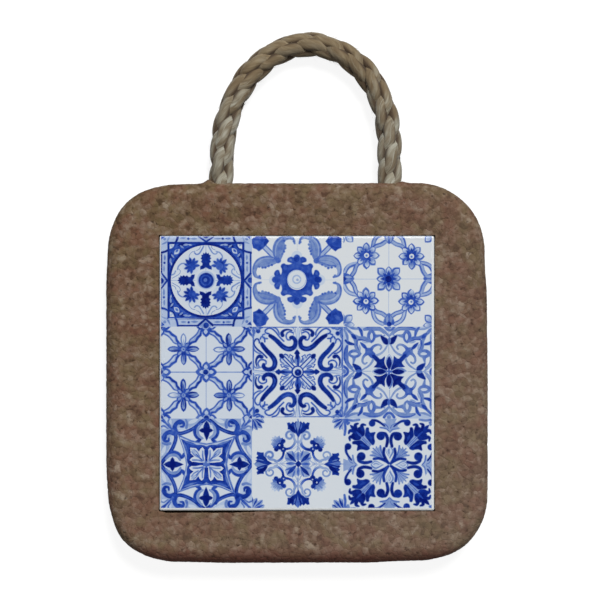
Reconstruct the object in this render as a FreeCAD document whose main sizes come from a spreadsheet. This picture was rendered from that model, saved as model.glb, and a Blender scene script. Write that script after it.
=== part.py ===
"""Cork trivet: a square tile let into a rounded cork base, with a rope loop to hang it by.

Millimetres, +Z up. The trivet lies flat with the tile upward and the loop toward +Y. The origin is the
middle of the base's underside.
"""
import FreeCAD
import Part
import Sketcher
import math
import os

# Driving sizes. The base is built round the tile, so its side follows from the tile, gap and border.
SIZES = {
    "tile_side": 150.0,
    "tile_thickness": 7.0,
    "tile_corner": 1.0,
    "tile_cushion": 1.4,
    "tile_proud": 0.8,
    "tile_gap": 0.5,
    "key_width": 9.0,
    "key_depth": 0.8,
    "key_corner": 3.0,
    "key_pitch": 15.0,
    "key_margin": 9.0,
    "border": 29.5,
    "base_thickness": 25.0,
    "base_corner": 38.0,
    "top_round": 8.0,
    "bottom_round": 3.0,
    "rope_diameter": 14.0,
    "rope_spacing": 93.0,
    "rope_offset": 4.0,
    "rope_glue": 0.2,
    "rope_lift": 0.2,
    "loop_reach": 76.5,
    "socket_wall": 9.5,
}

# Lengths that follow from the driving sizes, as expressions on the sheet.
RECESS_SIDE = "(Sizes.tile_side + 2 * Sizes.tile_gap)"
BASE_SIDE = f"({RECESS_SIDE} + 2 * Sizes.border)"
SEAT_HEIGHT = "(Sizes.base_thickness + Sizes.tile_proud - Sizes.tile_thickness)"
SOCKET_DEPTH = "(Sizes.border - Sizes.socket_wall)"
KEY_SPAN = "(Sizes.tile_side - 2 * Sizes.key_margin)"

# The loop's corner points between its two ends, chosen by eye from the left leg round to the right one:
# across from the loop's middle in half spacings, out from the base's edge as a share of the loop's reach, and
# how much of the drop from the sockets to the floor is still left.
LOOP_POINTS = [
    (-1.0, 0.105, 1.0),
    (-0.945, 0.485, 0.62),
    (-0.66, 0.81, 0.3),
    (-0.20, 1.0, 0.08),
    (0.28, 1.0, 0.0),
    (0.735, 0.815, 0.22),
    (0.985, 0.495, 0.6),
    (1.0, 0.105, 1.0),
]

# Each bend takes up this share of the shorter straight run beside it.
BEND_SHARE = 0.45
VOLUME_TOLERANCE = 0.01


def make_sheet(doc):
    """The spreadsheet that holds every driving size under its own name."""
    sheet = doc.addObject("Spreadsheet::Sheet", "Sizes")
    for row, (name, value) in enumerate(SIZES.items(), start=1):
        sheet.set(f"A{row}", name)
        sheet.set(f"B{row}", str(value))
        sheet.setAlias(f"B{row}", name)
    doc.recompute()
    return sheet


def origin_plane(body, role):
    """One of a body's own origin planes, such as XY_Plane."""
    return next(plane for plane in body.Origin.OriginFeatures if plane.Role == role)


def add_sketch(body, name, role):
    """An empty sketch on one of the body's origin planes."""
    sketch = body.newObject("Sketcher::SketchObject", name)
    sketch.AttachmentSupport = [(origin_plane(body, role), "")]
    sketch.MapMode = "FlatFace"
    return sketch


def add_size(sketch, name, constraint, expression):
    """A named dimension in a sketch, bound to an expression."""
    index = sketch.addConstraint(constraint)
    sketch.renameConstraint(index, name)
    sketch.setExpression(f"Constraints.{name}", expression)


def add_rounded_rectangle(sketch, width, height, radius):
    """Draw a rectangle with rounded corners about the sketch's origin, its sizes given as expressions."""
    x, y, corner = (float(sketch.evalExpression(size)) for size in (f"{width} / 2", f"{height} / 2", radius))
    inner_x = x - corner
    inner_y = y - corner
    quarter = math.pi / 2
    normal = FreeCAD.Vector(0, 0, 1)
    ends = [(-inner_x, -y), (inner_x, -y), (x, -inner_y), (x, inner_y),
            (inner_x, y), (-inner_x, y), (-x, inner_y), (-x, -inner_y)]
    centres = [(inner_x, -inner_y), (inner_x, inner_y), (-inner_x, inner_y), (-inner_x, -inner_y)]
    for side in range(4):
        start = FreeCAD.Vector(*ends[2 * side])
        end = FreeCAD.Vector(*ends[2 * side + 1])
        circle = Part.Circle(FreeCAD.Vector(*centres[side]), normal, corner)
        sketch.addGeometry(Part.LineSegment(start, end), False)
        sketch.addGeometry(Part.ArcOfCircle(circle, (side - 1) * quarter, side * quarter), False)
    for edge in range(8):
        sketch.addConstraint(Sketcher.Constraint("Tangent", edge, 2, (edge + 1) % 8, 1))
    for bottom, side in ((0, 2), (4, 6)):
        sketch.addConstraint(Sketcher.Constraint("Horizontal", bottom))
        sketch.addConstraint(Sketcher.Constraint("Vertical", side))
    for arc in (3, 5, 7):
        sketch.addConstraint(Sketcher.Constraint("Equal", 1, arc))
    sketch.addConstraint(Sketcher.Constraint("Symmetric", 0, 1, 4, 1, -1, 1))
    add_size(sketch, "width", Sketcher.Constraint("DistanceX", 6, 1, 2, 1, 2 * x), width)
    add_size(sketch, "height", Sketcher.Constraint("DistanceY", 0, 1, 4, 1, 2 * y), height)
    add_size(sketch, "corner", Sketcher.Constraint("Radius", 1, corner), radius)


def add_pad(body, name, sketch, length):
    pad = body.newObject("PartDesign::Pad", name)
    pad.Profile = sketch
    pad.setExpression("Length", length)
    sketch.Document.recompute()
    return pad


def add_pocket(body, name, sketch, length, along_normal):
    """Cut a sketch into the body, along the sketch's normal or against it, and see that it cut."""
    before = body.Shape.Volume
    pocket = body.newObject("PartDesign::Pocket", name)
    pocket.Profile = sketch
    pocket.Reversed = along_normal
    pocket.setExpression("Length", length)
    sketch.Document.recompute()
    if body.Shape.Volume >= before:
        raise RuntimeError(f"{name} cut nothing")
    return pocket


def add_edge_round(body, name, feature, height, radius):
    """Round the outline of the feature's level face at a height."""
    faces = feature.Shape.Faces
    levels = [abs(face.BoundBox.ZMin - height) + abs(face.BoundBox.ZMax - height) for face in faces]
    face_name = f"Face{levels.index(min(levels)) + 1}"
    fillet = body.newObject("PartDesign::Fillet", name)
    fillet.Base = (feature, [face_name])
    fillet.setExpression("Radius", radius)
    feature.Document.recompute()
    return fillet


def make_cork_base(doc, sheet):
    """Rounded slab with the tile's recess in its top and two rope sockets in its +Y edge."""
    body = doc.addObject("PartDesign::Body", "CorkBase")
    body.Label = "cork_base"
    outline = add_sketch(body, "BaseOutline", "XY_Plane")
    add_rounded_rectangle(outline, BASE_SIDE, BASE_SIDE, "Sizes.base_corner")
    slab = add_pad(body, "Slab", outline, "Sizes.base_thickness")
    topped = add_edge_round(body, "TopRound", slab, sheet.get("base_thickness"), "Sizes.top_round")
    add_edge_round(body, "BottomRound", topped, 0.0, "Sizes.bottom_round")

    recess = add_sketch(body, "RecessOutline", "XY_Plane")
    recess.setExpression("AttachmentOffset.Base.z", "Sizes.base_thickness")
    add_rounded_rectangle(recess, RECESS_SIDE, RECESS_SIDE, "Sizes.tile_corner + Sizes.tile_gap")
    add_pocket(body, "Recess", recess, f"Sizes.base_thickness - {SEAT_HEIGHT}", along_normal=False)

    mouths = add_sketch(body, "SocketMouths", "XZ_Plane")
    mouths.setExpression("AttachmentOffset.Base.z", f"-{BASE_SIDE} / 2")
    height = "Sizes.base_thickness / 2"
    radius = "(Sizes.rope_diameter / 2 + Sizes.rope_glue)"
    for index, (side, sign) in enumerate((("left", "-"), ("right", "+"))):
        across = f"Sizes.rope_offset {sign} Sizes.rope_spacing / 2"
        x, z, r = (float(mouths.evalExpression(size)) for size in (across, height, radius))
        mouths.addGeometry(Part.Circle(FreeCAD.Vector(x, z, 0), FreeCAD.Vector(0, 0, 1), r), False)
        add_size(mouths, f"{side}_across", Sketcher.Constraint("DistanceX", -1, 1, index, 3, x), across)
        add_size(mouths, f"{side}_height", Sketcher.Constraint("DistanceY", -1, 1, index, 3, z), height)
        add_size(mouths, f"{side}_radius", Sketcher.Constraint("Radius", index, r), radius)
    add_pocket(body, "RopeSockets", mouths, SOCKET_DEPTH, along_normal=True)
    return body


def make_tile(doc, sheet):
    """Square tile with a cushioned top edge and a row of shallow keys across its back."""
    body = doc.addObject("PartDesign::Body", "AzulejoTile")
    body.Label = "azulejo_tile"
    outline = add_sketch(body, "TileOutline", "XY_Plane")
    add_rounded_rectangle(outline, "Sizes.tile_side", "Sizes.tile_side", "Sizes.tile_corner")
    slab = add_pad(body, "Biscuit", outline, "Sizes.tile_thickness")
    add_edge_round(body, "Cushion", slab, sheet.get("tile_thickness"), "Sizes.tile_cushion")

    span = sheet.get("tile_side") - 2 * sheet.get("key_margin")
    key_count = int((span - sheet.get("key_width")) // sheet.get("key_pitch")) + 1
    key_run = f"({key_count - 1} * Sizes.key_pitch)"
    key = add_sketch(body, "KeyOutline", "XY_Plane")
    key.setExpression("AttachmentOffset.Base.y", f"-{key_run} / 2")
    add_rounded_rectangle(key, KEY_SPAN, "Sizes.key_width", "Sizes.key_corner")
    groove = add_pocket(body, "BackKey", key, "Sizes.key_depth", along_normal=True)
    row = body.newObject("PartDesign::LinearPattern", "BackKeys")
    row.Originals = [groove]
    row.Direction = (key, ["V_Axis"])
    row.setExpression("Length", key_run)
    row.Occurrences = key_count
    body.Tip = row

    body.setExpression("Placement.Base.z", SEAT_HEIGHT)
    return body


def loop_points(sheet):
    """Corner points of the rope's path, from one socket's floor round to the other's."""
    side = sheet.get("tile_side") + 2 * (sheet.get("tile_gap") + sheet.get("border"))
    reach = sheet.get("loop_reach")
    socket_depth = sheet.get("border") - sheet.get("socket_wall")
    socket_height = sheet.get("base_thickness") / 2
    lying_height = sheet.get("rope_diameter") / 2 + sheet.get("rope_lift")
    left_end = (-1.0, -socket_depth / reach, 1.0)
    right_end = (1.0, -socket_depth / reach, 1.0)
    points = []
    for across, out, drop in [left_end, *LOOP_POINTS, right_end]:
        x = sheet.get("rope_offset") + across * sheet.get("rope_spacing") / 2
        y = side / 2 + out * reach
        z = lying_height + drop * (socket_height - lying_height)
        points.append(FreeCAD.Vector(x, y, z))
    return points


def bend_at(before, corner, after):
    """The tangent arc that rounds one corner of the path: its ends, middle and radius."""
    back = before - corner
    ahead = after - corner
    setback = BEND_SHARE * min(back.Length, ahead.Length)
    back.normalize()
    ahead.normalize()
    half_turn = (math.pi - back.getAngle(ahead)) / 2
    radius = setback / math.tan(half_turn)
    inward = back + ahead
    inward.normalize()
    middle = corner + inward * (radius / math.cos(half_turn) - radius)
    return corner + back * setback, middle, corner + ahead * setback, radius


def make_rope(doc, sheet):
    """Round tube along the loop's path, its ends flush on the socket floors."""
    points = loop_points(sheet)
    edges = []
    last = points[0]
    for index in range(1, len(points) - 1):
        start, middle, end, radius = bend_at(*points[index - 1:index + 2])
        edges.append(Part.LineSegment(last, start).toShape())
        edges.append(Part.Arc(start, middle, end).toShape())
        last = end
        print(f"rope bend {index}: radius {radius:.1f} mm")
    edges.append(Part.LineSegment(last, points[-1]).toShape())
    path = Part.Wire(edges)

    rope_radius = sheet.get("rope_diameter") / 2
    section = Part.Wire(Part.makeCircle(rope_radius, points[0], points[1] - points[0]))
    tube = path.makePipeShell([section], True, False)
    expected = math.pi * rope_radius ** 2 * path.Length
    print(f"rope length {path.Length:.1f} mm, volume {tube.Volume:.0f} of {expected:.0f} cubic mm")
    if abs(tube.Volume / expected - 1) > VOLUME_TOLERANCE:
        raise RuntimeError("the rope's volume doesn't match its section and length")
    rope = doc.addObject("Part::Feature", "RopeHandle")
    rope.Label = "rope_handle"
    rope.Shape = tube
    rope.Placement = FreeCAD.Placement()
    return rope


def check_document(doc, pieces):
    """Stop before anything is written if an object failed or a piece has no sound shape."""
    doc.recompute()
    for item in doc.Objects:
        if "Invalid" in item.State or "Error" in item.State:
            raise RuntimeError(f"{item.Name} failed: {item.State}")
    for piece in pieces:
        if piece.Shape.isNull() or not piece.Shape.isValid() or len(piece.Shape.Solids) != 1:
            raise RuntimeError(f"{piece.Label} isn't one sound solid")


def main():
    doc = FreeCAD.newDocument("CorkTrivet")
    sheet = make_sheet(doc)
    pieces = [make_cork_base(doc, sheet), make_tile(doc, sheet), make_rope(doc, sheet)]
    check_document(doc, pieces)
    os.makedirs("parts", exist_ok=True)
    for piece in pieces:
        piece.Shape.exportStep(f"parts/{piece.Label}.step")
        box = piece.Shape.optimalBoundingBox()
        print(f"{piece.Label}: {box.XLength:.1f} x {box.YLength:.1f} x {box.ZLength:.1f} mm, "
              f"{piece.Shape.Volume / 1000:.1f} cubic cm")


main()
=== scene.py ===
"""Looks for the cork trivet: a painted azulejo tile, agglomerated cork and a loop of laid rope."""
import cmath
import math
import random
from collections import namedtuple

import bpy
import numpy as np
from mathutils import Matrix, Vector
from mathutils.geometry import delaunay_2d_cdt


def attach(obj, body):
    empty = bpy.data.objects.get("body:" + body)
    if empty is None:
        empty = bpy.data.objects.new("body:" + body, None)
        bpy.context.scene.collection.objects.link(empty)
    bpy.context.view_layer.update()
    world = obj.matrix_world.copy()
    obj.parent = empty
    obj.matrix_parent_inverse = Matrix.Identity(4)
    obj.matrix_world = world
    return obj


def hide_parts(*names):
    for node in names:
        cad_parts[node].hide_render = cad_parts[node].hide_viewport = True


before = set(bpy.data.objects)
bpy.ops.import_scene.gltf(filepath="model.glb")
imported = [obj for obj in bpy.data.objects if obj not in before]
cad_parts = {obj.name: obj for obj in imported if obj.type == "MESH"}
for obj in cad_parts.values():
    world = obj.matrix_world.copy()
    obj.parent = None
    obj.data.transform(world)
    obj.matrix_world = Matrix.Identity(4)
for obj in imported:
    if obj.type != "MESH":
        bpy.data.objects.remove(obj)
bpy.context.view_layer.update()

MM = 0.001
FULL_TURN = 2 * math.pi
QUARTER_TURN = math.pi / 2

# Sizes in millimetres, as in the part but for the two that say otherwise
TILE_SIDE = 150.0
TILE_CORNER = 1.0
TILE_CUSHION = 1.4
TILE_BOTTOM = 18.8
TILE_TOP = 25.8
BASE_SIDE = 210.0
BASE_CORNER = 38.0
BASE_TOP = 25.0
TOP_ROUND = 8.0
BOTTOM_ROUND = 3.0
# As the photograph shows it; the part has 151
RECESS_SEEN = 150.4
SOCKET_DIAMETER = 14.4
SOCKET_DEPTH = 20.0
SOCKET_HEIGHT = 12.5
ROPE_DIAMETER = 14.0
ROPE_SPACING = 93.0
# As the photograph shows it; the part has 4
ROPE_OFFSET = 4.6
ROPE_LIE = 7.2
LOOP_REACH = 76.5


# Materials and objects
def srgb(red, green, blue):
    """A colour given as 0 to 255, in linear light and opaque."""
    out = []
    for value in (red, green, blue):
        share = value / 255
        out.append(share / 12.92 if share <= 0.04045 else ((share + 0.055) / 1.055) ** 2.4)
    return (*out, 1)


def add(tree, kind, values=None, **settings):
    """A node with its settings and inputs; an input given as a socket is linked."""
    made = tree.nodes.new(kind)
    for key, value in settings.items():
        setattr(made, key, value)
    for key, value in (values or {}).items():
        if isinstance(value, bpy.types.NodeSocket):
            tree.links.new(value, made.inputs[key])
        else:
            made.inputs[key].default_value = value
    return made


def maths(tree, operation, *values):
    return add(tree, "ShaderNodeMath", dict(enumerate(values)), operation=operation).outputs[0]


def swing(tree, value, amount):
    """A value about one half, moved to swing about nothing by an amount."""
    return maths(tree, "MULTIPLY", maths(tree, "SUBTRACT", value, 0.5), amount)


def spread(tree, value, low, high, to_low=0.0, to_high=1.0):
    """A value moved from one range to another, held at its ends."""
    made = add(tree, "ShaderNodeMapRange", {"Value": value, "From Min": low, "From Max": high,
                                            "To Min": to_low, "To Max": to_high})
    return made.outputs["Result"]


def blend(tree, share, first, second):
    """Two colours mixed by a share."""
    return add(tree, "ShaderNodeMix", {0: share, 6: first, 7: second}, data_type="RGBA").outputs[2]


def stain(tree, colour, tint, value, low, high, to_low, to_high):
    """A colour covered by a tint, as far as a value moved from one range to another says."""
    return blend(tree, spread(tree, value, low, high, to_low, to_high), colour, srgb(*tint))


def ramp(tree, value, *stops):
    """A colour ramp; each stop is a place with red, green and blue of 0 to 255."""
    made = add(tree, "ShaderNodeValToRGB", {"Fac": value})
    elements = made.color_ramp.elements
    for end in (0, -1):
        elements[end].position = stops[end][0]
        elements[end].color = srgb(*stops[end][1:])
    for place, *colour in stops[1:-1]:
        elements.new(place).color = srgb(*colour)
    return made.outputs["Color"]


def noise(tree, at, scale, detail=2.0, roughness=0.5):
    made = add(tree, "ShaderNodeTexNoise", {"Vector": at, "Scale": scale, "Detail": detail,
                                            "Roughness": roughness})
    return made.outputs[0]


def parts_of(tree, vector):
    return add(tree, "ShaderNodeSeparateXYZ", {"Vector": vector}).outputs


def attribute(tree, name, kind):
    return add(tree, "ShaderNodeAttribute", attribute_name=name).outputs[kind]


def seen_directly(tree):
    """1 for what the camera sees, also in a reflection or through glass, and 0 for other light."""
    rays = add(tree, "ShaderNodeLightPath").outputs
    passed_on = maths(tree, "MAXIMUM", rays["Is Glossy Ray"], rays["Is Transmission Ray"])
    return maths(tree, "MAXIMUM", rays["Is Camera Ray"], passed_on)


def material(name):
    made = bpy.data.materials.new(name)
    made.use_nodes = True
    return made, made.node_tree, made.node_tree.nodes["Principled BSDF"]


def dress(tree, shader, colour, bump, settings):
    """Give a surface its colour, its fine bumps (height, strength, distance) and its other settings."""
    tree.links.new(colour, shader.inputs["Base Color"])
    for name, value in settings.items():
        shader.inputs[name].default_value = value
    made = add(tree, "ShaderNodeBump", dict(zip(("Height", "Strength", "Distance"), bump)))
    tree.links.new(made.outputs["Normal"], shader.inputs["Normal"])


def new_object(name, data):
    made = bpy.data.objects.new(name, data)
    bpy.context.scene.collection.objects.link(made)
    return made


def mesh_object(name, points, faces, shade=None):
    """A smooth mesh from points in millimetres."""
    mesh = bpy.data.meshes.new(name)
    mesh.from_pydata([(x * MM, y * MM, z * MM) for x, y, z in points], [], faces)
    made = new_object(name, mesh)
    mesh.polygons.foreach_set("use_smooth", [True] * len(mesh.polygons))
    if shade:
        mesh.materials.append(shade)
    return made


def final_mesh(holder):
    """An object's mesh as its modifiers or its curve make it."""
    return bpy.data.meshes.new_from_object(holder.evaluated_get(bpy.context.evaluated_depsgraph_get()))


def set_attribute(mesh, name, kind, domain, values):
    """Keep a number or a vector on each point or corner of a mesh."""
    layer = mesh.attributes.new(name, kind, domain)
    key = "vector" if kind == "FLOAT_VECTOR" else "value"
    layer.data.foreach_set(key, np.array(values, dtype=np.float32).ravel())


def tube_faces(first, rings, around):
    """Faces of a closed tube whose rings of points follow one another from a first point on."""
    faces = []
    for ring_start in range(first, first + (rings - 1) * around, around):
        for k in range(around):
            a = ring_start + k
            b = ring_start + (k + 1) % around
            faces.append((a, b, b + around, a + around))
    faces.append([first + k for k in reversed(range(around))])
    faces.append([first + (rings - 1) * around + k for k in range(around)])
    return faces


def unit(ways):
    """Each direction at unit length; one of no length stays as it is."""
    return ways / np.linalg.norm(ways, axis=1).clip(1e-9)[:, None]


# Drawing: points are complex numbers in half cells from a cell's middle

# Copies of a shape, each a turn and whether it is mirrored first
ONE = [(1, False)]
FOUR = [(1j ** k, False) for k in range(4)]
EIGHT = FOUR + [(1j ** k, True) for k in range(4)]


def smooth(points, closed=False, steps=6):
    """A curve through the points."""
    n = len(points)
    out = []
    spans = n if closed else n - 1
    for i in range(spans):
        if closed:
            a, b, c, d = (points[(i + k) % n] for k in (-1, 0, 1, 2))
        else:
            b, c = points[i], points[i + 1]
            a = points[i - 1] if i else 2 * b - c
            d = points[i + 2] if i + 2 < n else 2 * c - b
        for k in range(steps):
            t = k / steps
            out.append(0.5 * (2 * b + (c - a) * t + (2 * a - 5 * b + 4 * c - d) * t * t
                              + (3 * b - a - 3 * c + d) * t ** 3))
    if not closed:
        out.append(points[-1])
    return out


def stroke(points, *widths, straight=False):
    """The outline of a brush line along a curve; its width runs through the values given."""
    line = list(points) if straight else smooth(points, steps=4)
    if len(widths) == 1:
        widths *= 2
    last = len(line) - 1
    left = []
    right = []
    for i, p in enumerate(line):
        ahead = line[min(i + 1, last)] - line[max(i - 1, 0)]
        side = 1j * ahead / (abs(ahead) or 1)
        place = i / last * (len(widths) - 1)
        k = min(int(place), len(widths) - 2)
        width = widths[k] + (widths[k + 1] - widths[k]) * (place - k)
        left.append(p + side * width / 2)
        right.append(p - side * width / 2)
    if straight:
        return left + right[::-1]
    return left + round_end(left[-1], right[-1]) + right[::-1] + round_end(right[0], left[0])


def round_end(first, last):
    """Points of a half round from one side of a brush line to the other."""
    middle = (first + last) / 2
    return [middle + (first - middle) * cmath.rect(1, -math.radians(turn)) for turn in (45, 90, 135)]


def disc(centre, radius, count=20):
    return [centre + cmath.rect(radius, FULL_TURN * k / count) for k in range(count)]


def between(outer, inner):
    """The outline of what lies between two loops: round the outer one and back round the inner one."""
    return outer + [outer[0], inner[0]] + inner[:0:-1]


def hoop(centre, radius, width, count=28):
    return between(disc(centre, radius + width / 2, count), disc(centre, radius - width / 2, count))


def polygon_line(points, width):
    """A closed line round a polygon, with mitred corners."""
    n = len(points)
    outer = []
    inner = []
    for i, p in enumerate(points):
        before = (p - points[i - 1]) / abs(p - points[i - 1])
        after = (points[(i + 1) % n] - p) / abs(points[(i + 1) % n] - p)
        mitre = 1j * (before + after)
        mitre *= width / (abs(mitre) ** 2 or 1)
        outer.append(p - mitre)
        inner.append(p + mitre)
    return between(outer, inner)


def spindle(base, tip, width, bulges):
    """A shape from base to tip; the bulges, evenly spaced along it, are shares of its width."""
    along_it = tip - base
    side = 1j * along_it / abs(along_it) * width / 2
    last = len(bulges) - 1
    left = [base + along_it * (k / last) + side * bulge for k, bulge in enumerate(bulges)]
    right = [base + along_it * (k / last) - side * bulge for k, bulge in enumerate(bulges)]
    return left + right[-2:0:-1]


def lens(base, tip, width, belly=0.5, blunt=1.0, steps=9):
    """A leaf pointed at both ends, widest at the belly's share of its length.

    A blunt below 1 rounds its ends.
    """
    bend = math.log(0.5) / math.log(belly)
    bulges = [max(math.sin(math.pi * (k / steps) ** bend), 0) ** blunt for k in range(steps + 1)]
    return spindle(base, tip, width, bulges)


def petal(base, tip, width, steps=10):
    """A petal with a narrow base and a round end."""
    shares = [k / steps for k in range(steps + 1)]
    return spindle(base, tip, width, [math.sin(math.pi * t) ** 0.6 * (0.45 + 0.55 * t) for t in shares])


def curl(centre, radius, start, sweep, inner=0.35, count=9):
    """Points of a scroll that winds in from a radius, angles in degrees."""
    out = []
    for k in range(count + 1):
        reach = radius * (1 + (inner - 1) * k / count)
        out.append(centre + cmath.rect(reach, math.radians(start + sweep * k / count)))
    return out


def square(half):
    return [complex(-half, -half), complex(half, -half), complex(half, half), complex(-half, half)]


def star(centre, outer, inner, tips):
    return [centre + cmath.rect(inner if k % 2 else outer, math.pi * k / tips) for k in range(2 * tips)]


def eightfold(points):
    """A closed outline from the points of one eighth, from the upper axis to the upper right diagonal."""
    half = points + [1j * p.conjugate() for p in reversed(points[:-1])]
    out = []
    for k in range(4):
        out += [(-1j) ** k * p for p in half[:-1]]
    return out


def both(points):
    """A closed outline from its right half, given from the upper axis round to the lower one."""
    return points + [-q.conjugate() for q in reversed(points[1:-1])]


def both_diagonal(points):
    """A closed outline from one side, given along the upper left diagonal inward."""
    return points + [-1j * q.conjugate() for q in reversed(points)]


class Painter:
    """Collects filled outlines for one cell, each with an ink strength from 0, bare glaze, to 1, navy.

    Every copy lies a little out of place, and all but the palest differ in strength, as by hand.
    """
    WOBBLE = 0.006
    INK_SPREAD = 0.04
    PALEST = 0.2

    def __init__(self, seed):
        self.shapes = []
        self.random = random.Random(seed)

    def put(self, copies, ink, points, fade=None):
        """Paint an outline in each copy; a fade is (end ink, from point, to point)."""
        end, start_at, end_at = fade or (ink, 0, 1)
        for turn, flip in copies:
            shift = complex(self.random.gauss(0, self.WOBBLE), self.random.gauss(0, self.WOBBLE))
            change = self.random.gauss(0, self.INK_SPREAD) if ink > self.PALEST else 0.0

            def place(p):
                return turn * (p.conjugate() if flip else p) + shift
            outline = [place(p) for p in points]
            self.shapes.append((outline, ink + change, end + change, place(start_at), place(end_at)))

    def line(self, copies, ink, points, *widths, fade=None):
        self.put(copies, ink, stroke(points, *widths), fade)

    def bar(self, copies, ink, points, *widths):
        self.put(copies, ink, stroke(points, *widths, straight=True))

    def leaf(self, copies, ink, *shape, fade=None):
        self.put(copies, ink, lens(*shape), fade)

    def dot(self, copies, ink, *shape):
        self.put(copies, ink, disc(*shape))


def blossom(p, copies, centre, reach, rim, core, tips=8):
    """Pointed petals round a centre: dark edges, and a fill that pales toward each tip."""
    petals = [(cmath.rect(1, FULL_TURN * k / tips), reach[k % len(reach)]) for k in range(tips)]
    for way, far in petals:
        p.leaf(copies, rim, centre + 0.04 * way, centre + far * way, 0.52 * far, 0.6)
    for way, far in petals:
        base = centre + 0.3 * far * way
        tip = centre + 0.9 * far * way
        p.leaf(copies, core, base, tip, 0.34 * far, 0.6, fade=(0.06, base, tip))


# Roundel: a square frame round a circle of tulips and leaves
def roundel(p):
    p.put(ONE, 0.2, square(1.1))
    p.dot(FOUR, 0.34, 1j, 0.13)
    p.line(FOUR, 0.88, [-0.6 + 1.01j, -0.65 + 0.84j, -0.84 + 0.65j, -1.01 + 0.6j], 0.036)
    p.bar(EIGHT, 0.84, [-0.6 + 0.98j, -0.17 + 0.98j], 0.028)
    p.dot(FOUR, 0.85, 0.985j, 0.06)
    p.bar(FOUR, 0.88, [-0.17 + 0.99j, 0.84j, 0.17 + 0.99j], 0.05)
    p.dot(EIGHT, 0.8, -0.38 + 0.905j, 0.022, 8)
    p.leaf(EIGHT, 0.44, -0.34 + 0.91j, -0.17 + 0.91j, 0.045)
    p.leaf(EIGHT, 0.44, -0.56 + 0.91j, -0.42 + 0.91j, 0.045)
    p.put(FOUR, 0.7, [-1 + 0.98j, -0.9 + 0.965j, -0.965 + 0.9j])
    p.dot(FOUR, 0.45, -0.9 + 0.9j, 0.035, 8)
    p.leaf(EIGHT, 0.4, -0.98 + 0.78j, -0.8 + 0.86j, 0.04)
    p.put(ONE, 0.72, square(0.825))
    p.put(FOUR, 0.05, [-0.79 + 0.79j, -0.665 + 0.79j, -0.71 + 0.71j, -0.79 + 0.665j])
    p.leaf(FOUR, 0.3, -0.78 + 0.78j, -0.715 + 0.715j, 0.05)
    p.line(FOUR, 0.88, [-0.655 + 0.81j, -0.705 + 0.705j, -0.81 + 0.655j], 0.03)
    p.put(ONE, 0.93, polygon_line(square(0.82), 0.042))
    p.leaf(EIGHT, 0.86, -0.62 + 0.74j, -0.45 + 0.78j, 0.08)
    p.leaf(FOUR, 0.14, -0.69 + 0.575j, -0.575 + 0.69j, 0.1)
    p.leaf(FOUR, 0.55, -0.665 + 0.605j, -0.605 + 0.665j, 0.045)
    p.leaf(EIGHT, 0.36, -0.5 + 0.76j, -0.37 + 0.775j, 0.045)
    p.leaf(EIGHT, 0.4, -0.77 + 0.58j, -0.7 + 0.49j, 0.04)
    p.leaf(EIGHT, 0.3, -0.775 + 0.4j, -0.755 + 0.3j, 0.03)
    p.dot(ONE, 0.95, 0, 0.82, 56)
    p.dot(ONE, 0.07, 0, 0.765, 56)
    p.dot(FOUR, 0.11, -0.32 + 0.32j, 0.19)
    p.line(EIGHT, 0.46, [-0.05 + 0.74j, -0.1 + 0.65j, -0.15 + 0.58j, -0.21 + 0.565j, -0.25 + 0.6j], 0.016)
    p.line(EIGHT, 0.46, [-0.23 + 0.63j, -0.3 + 0.61j, -0.355 + 0.545j, -0.36 + 0.48j, -0.33 + 0.455j],
           0.016)
    p.line(EIGHT, 0.4, [-0.115 + 0.745j, -0.14 + 0.69j, -0.2 + 0.66j], 0.016)
    p.bar(FOUR, 0.3, [0.22j, 0.76j], 0.014)
    for lean in (33, 66, 99, 132):
        p.leaf(EIGHT, 0.76, -0.31 + 0.31j, -0.31 + 0.31j + cmath.rect(0.18, math.radians(135 - lean)),
               0.06, 0.6, 0.9)
    p.leaf(FOUR, 0.84, -0.26 + 0.26j, -0.45 + 0.45j, 0.075, 0.6, 0.9)
    p.dot(FOUR, 0.74, -0.3 + 0.3j, 0.08)
    tulip = [0.61j, 0.025 + 0.57j, 0.055 + 0.59j, 0.065 + 0.55j, 0.1 + 0.545j, 0.085 + 0.505j,
             0.11 + 0.475j, 0.08 + 0.445j, 0.105 + 0.405j, 0.07 + 0.37j, 0.075 + 0.325j, 0.12 + 0.3j,
             0.125 + 0.235j, 0.06 + 0.25j, 0.285j]
    p.put(FOUR, 0.93, both(tulip))
    p.dot(ONE, 0.2, 0, 0.205, 32)
    p.dot(ONE, 0.88, 0, 0.165, 32)
    p.put(ONE, 0.72, hoop(0, 0.105, 0.03))
    p.dot(ONE, 0.55, 0, 0.04)


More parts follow.
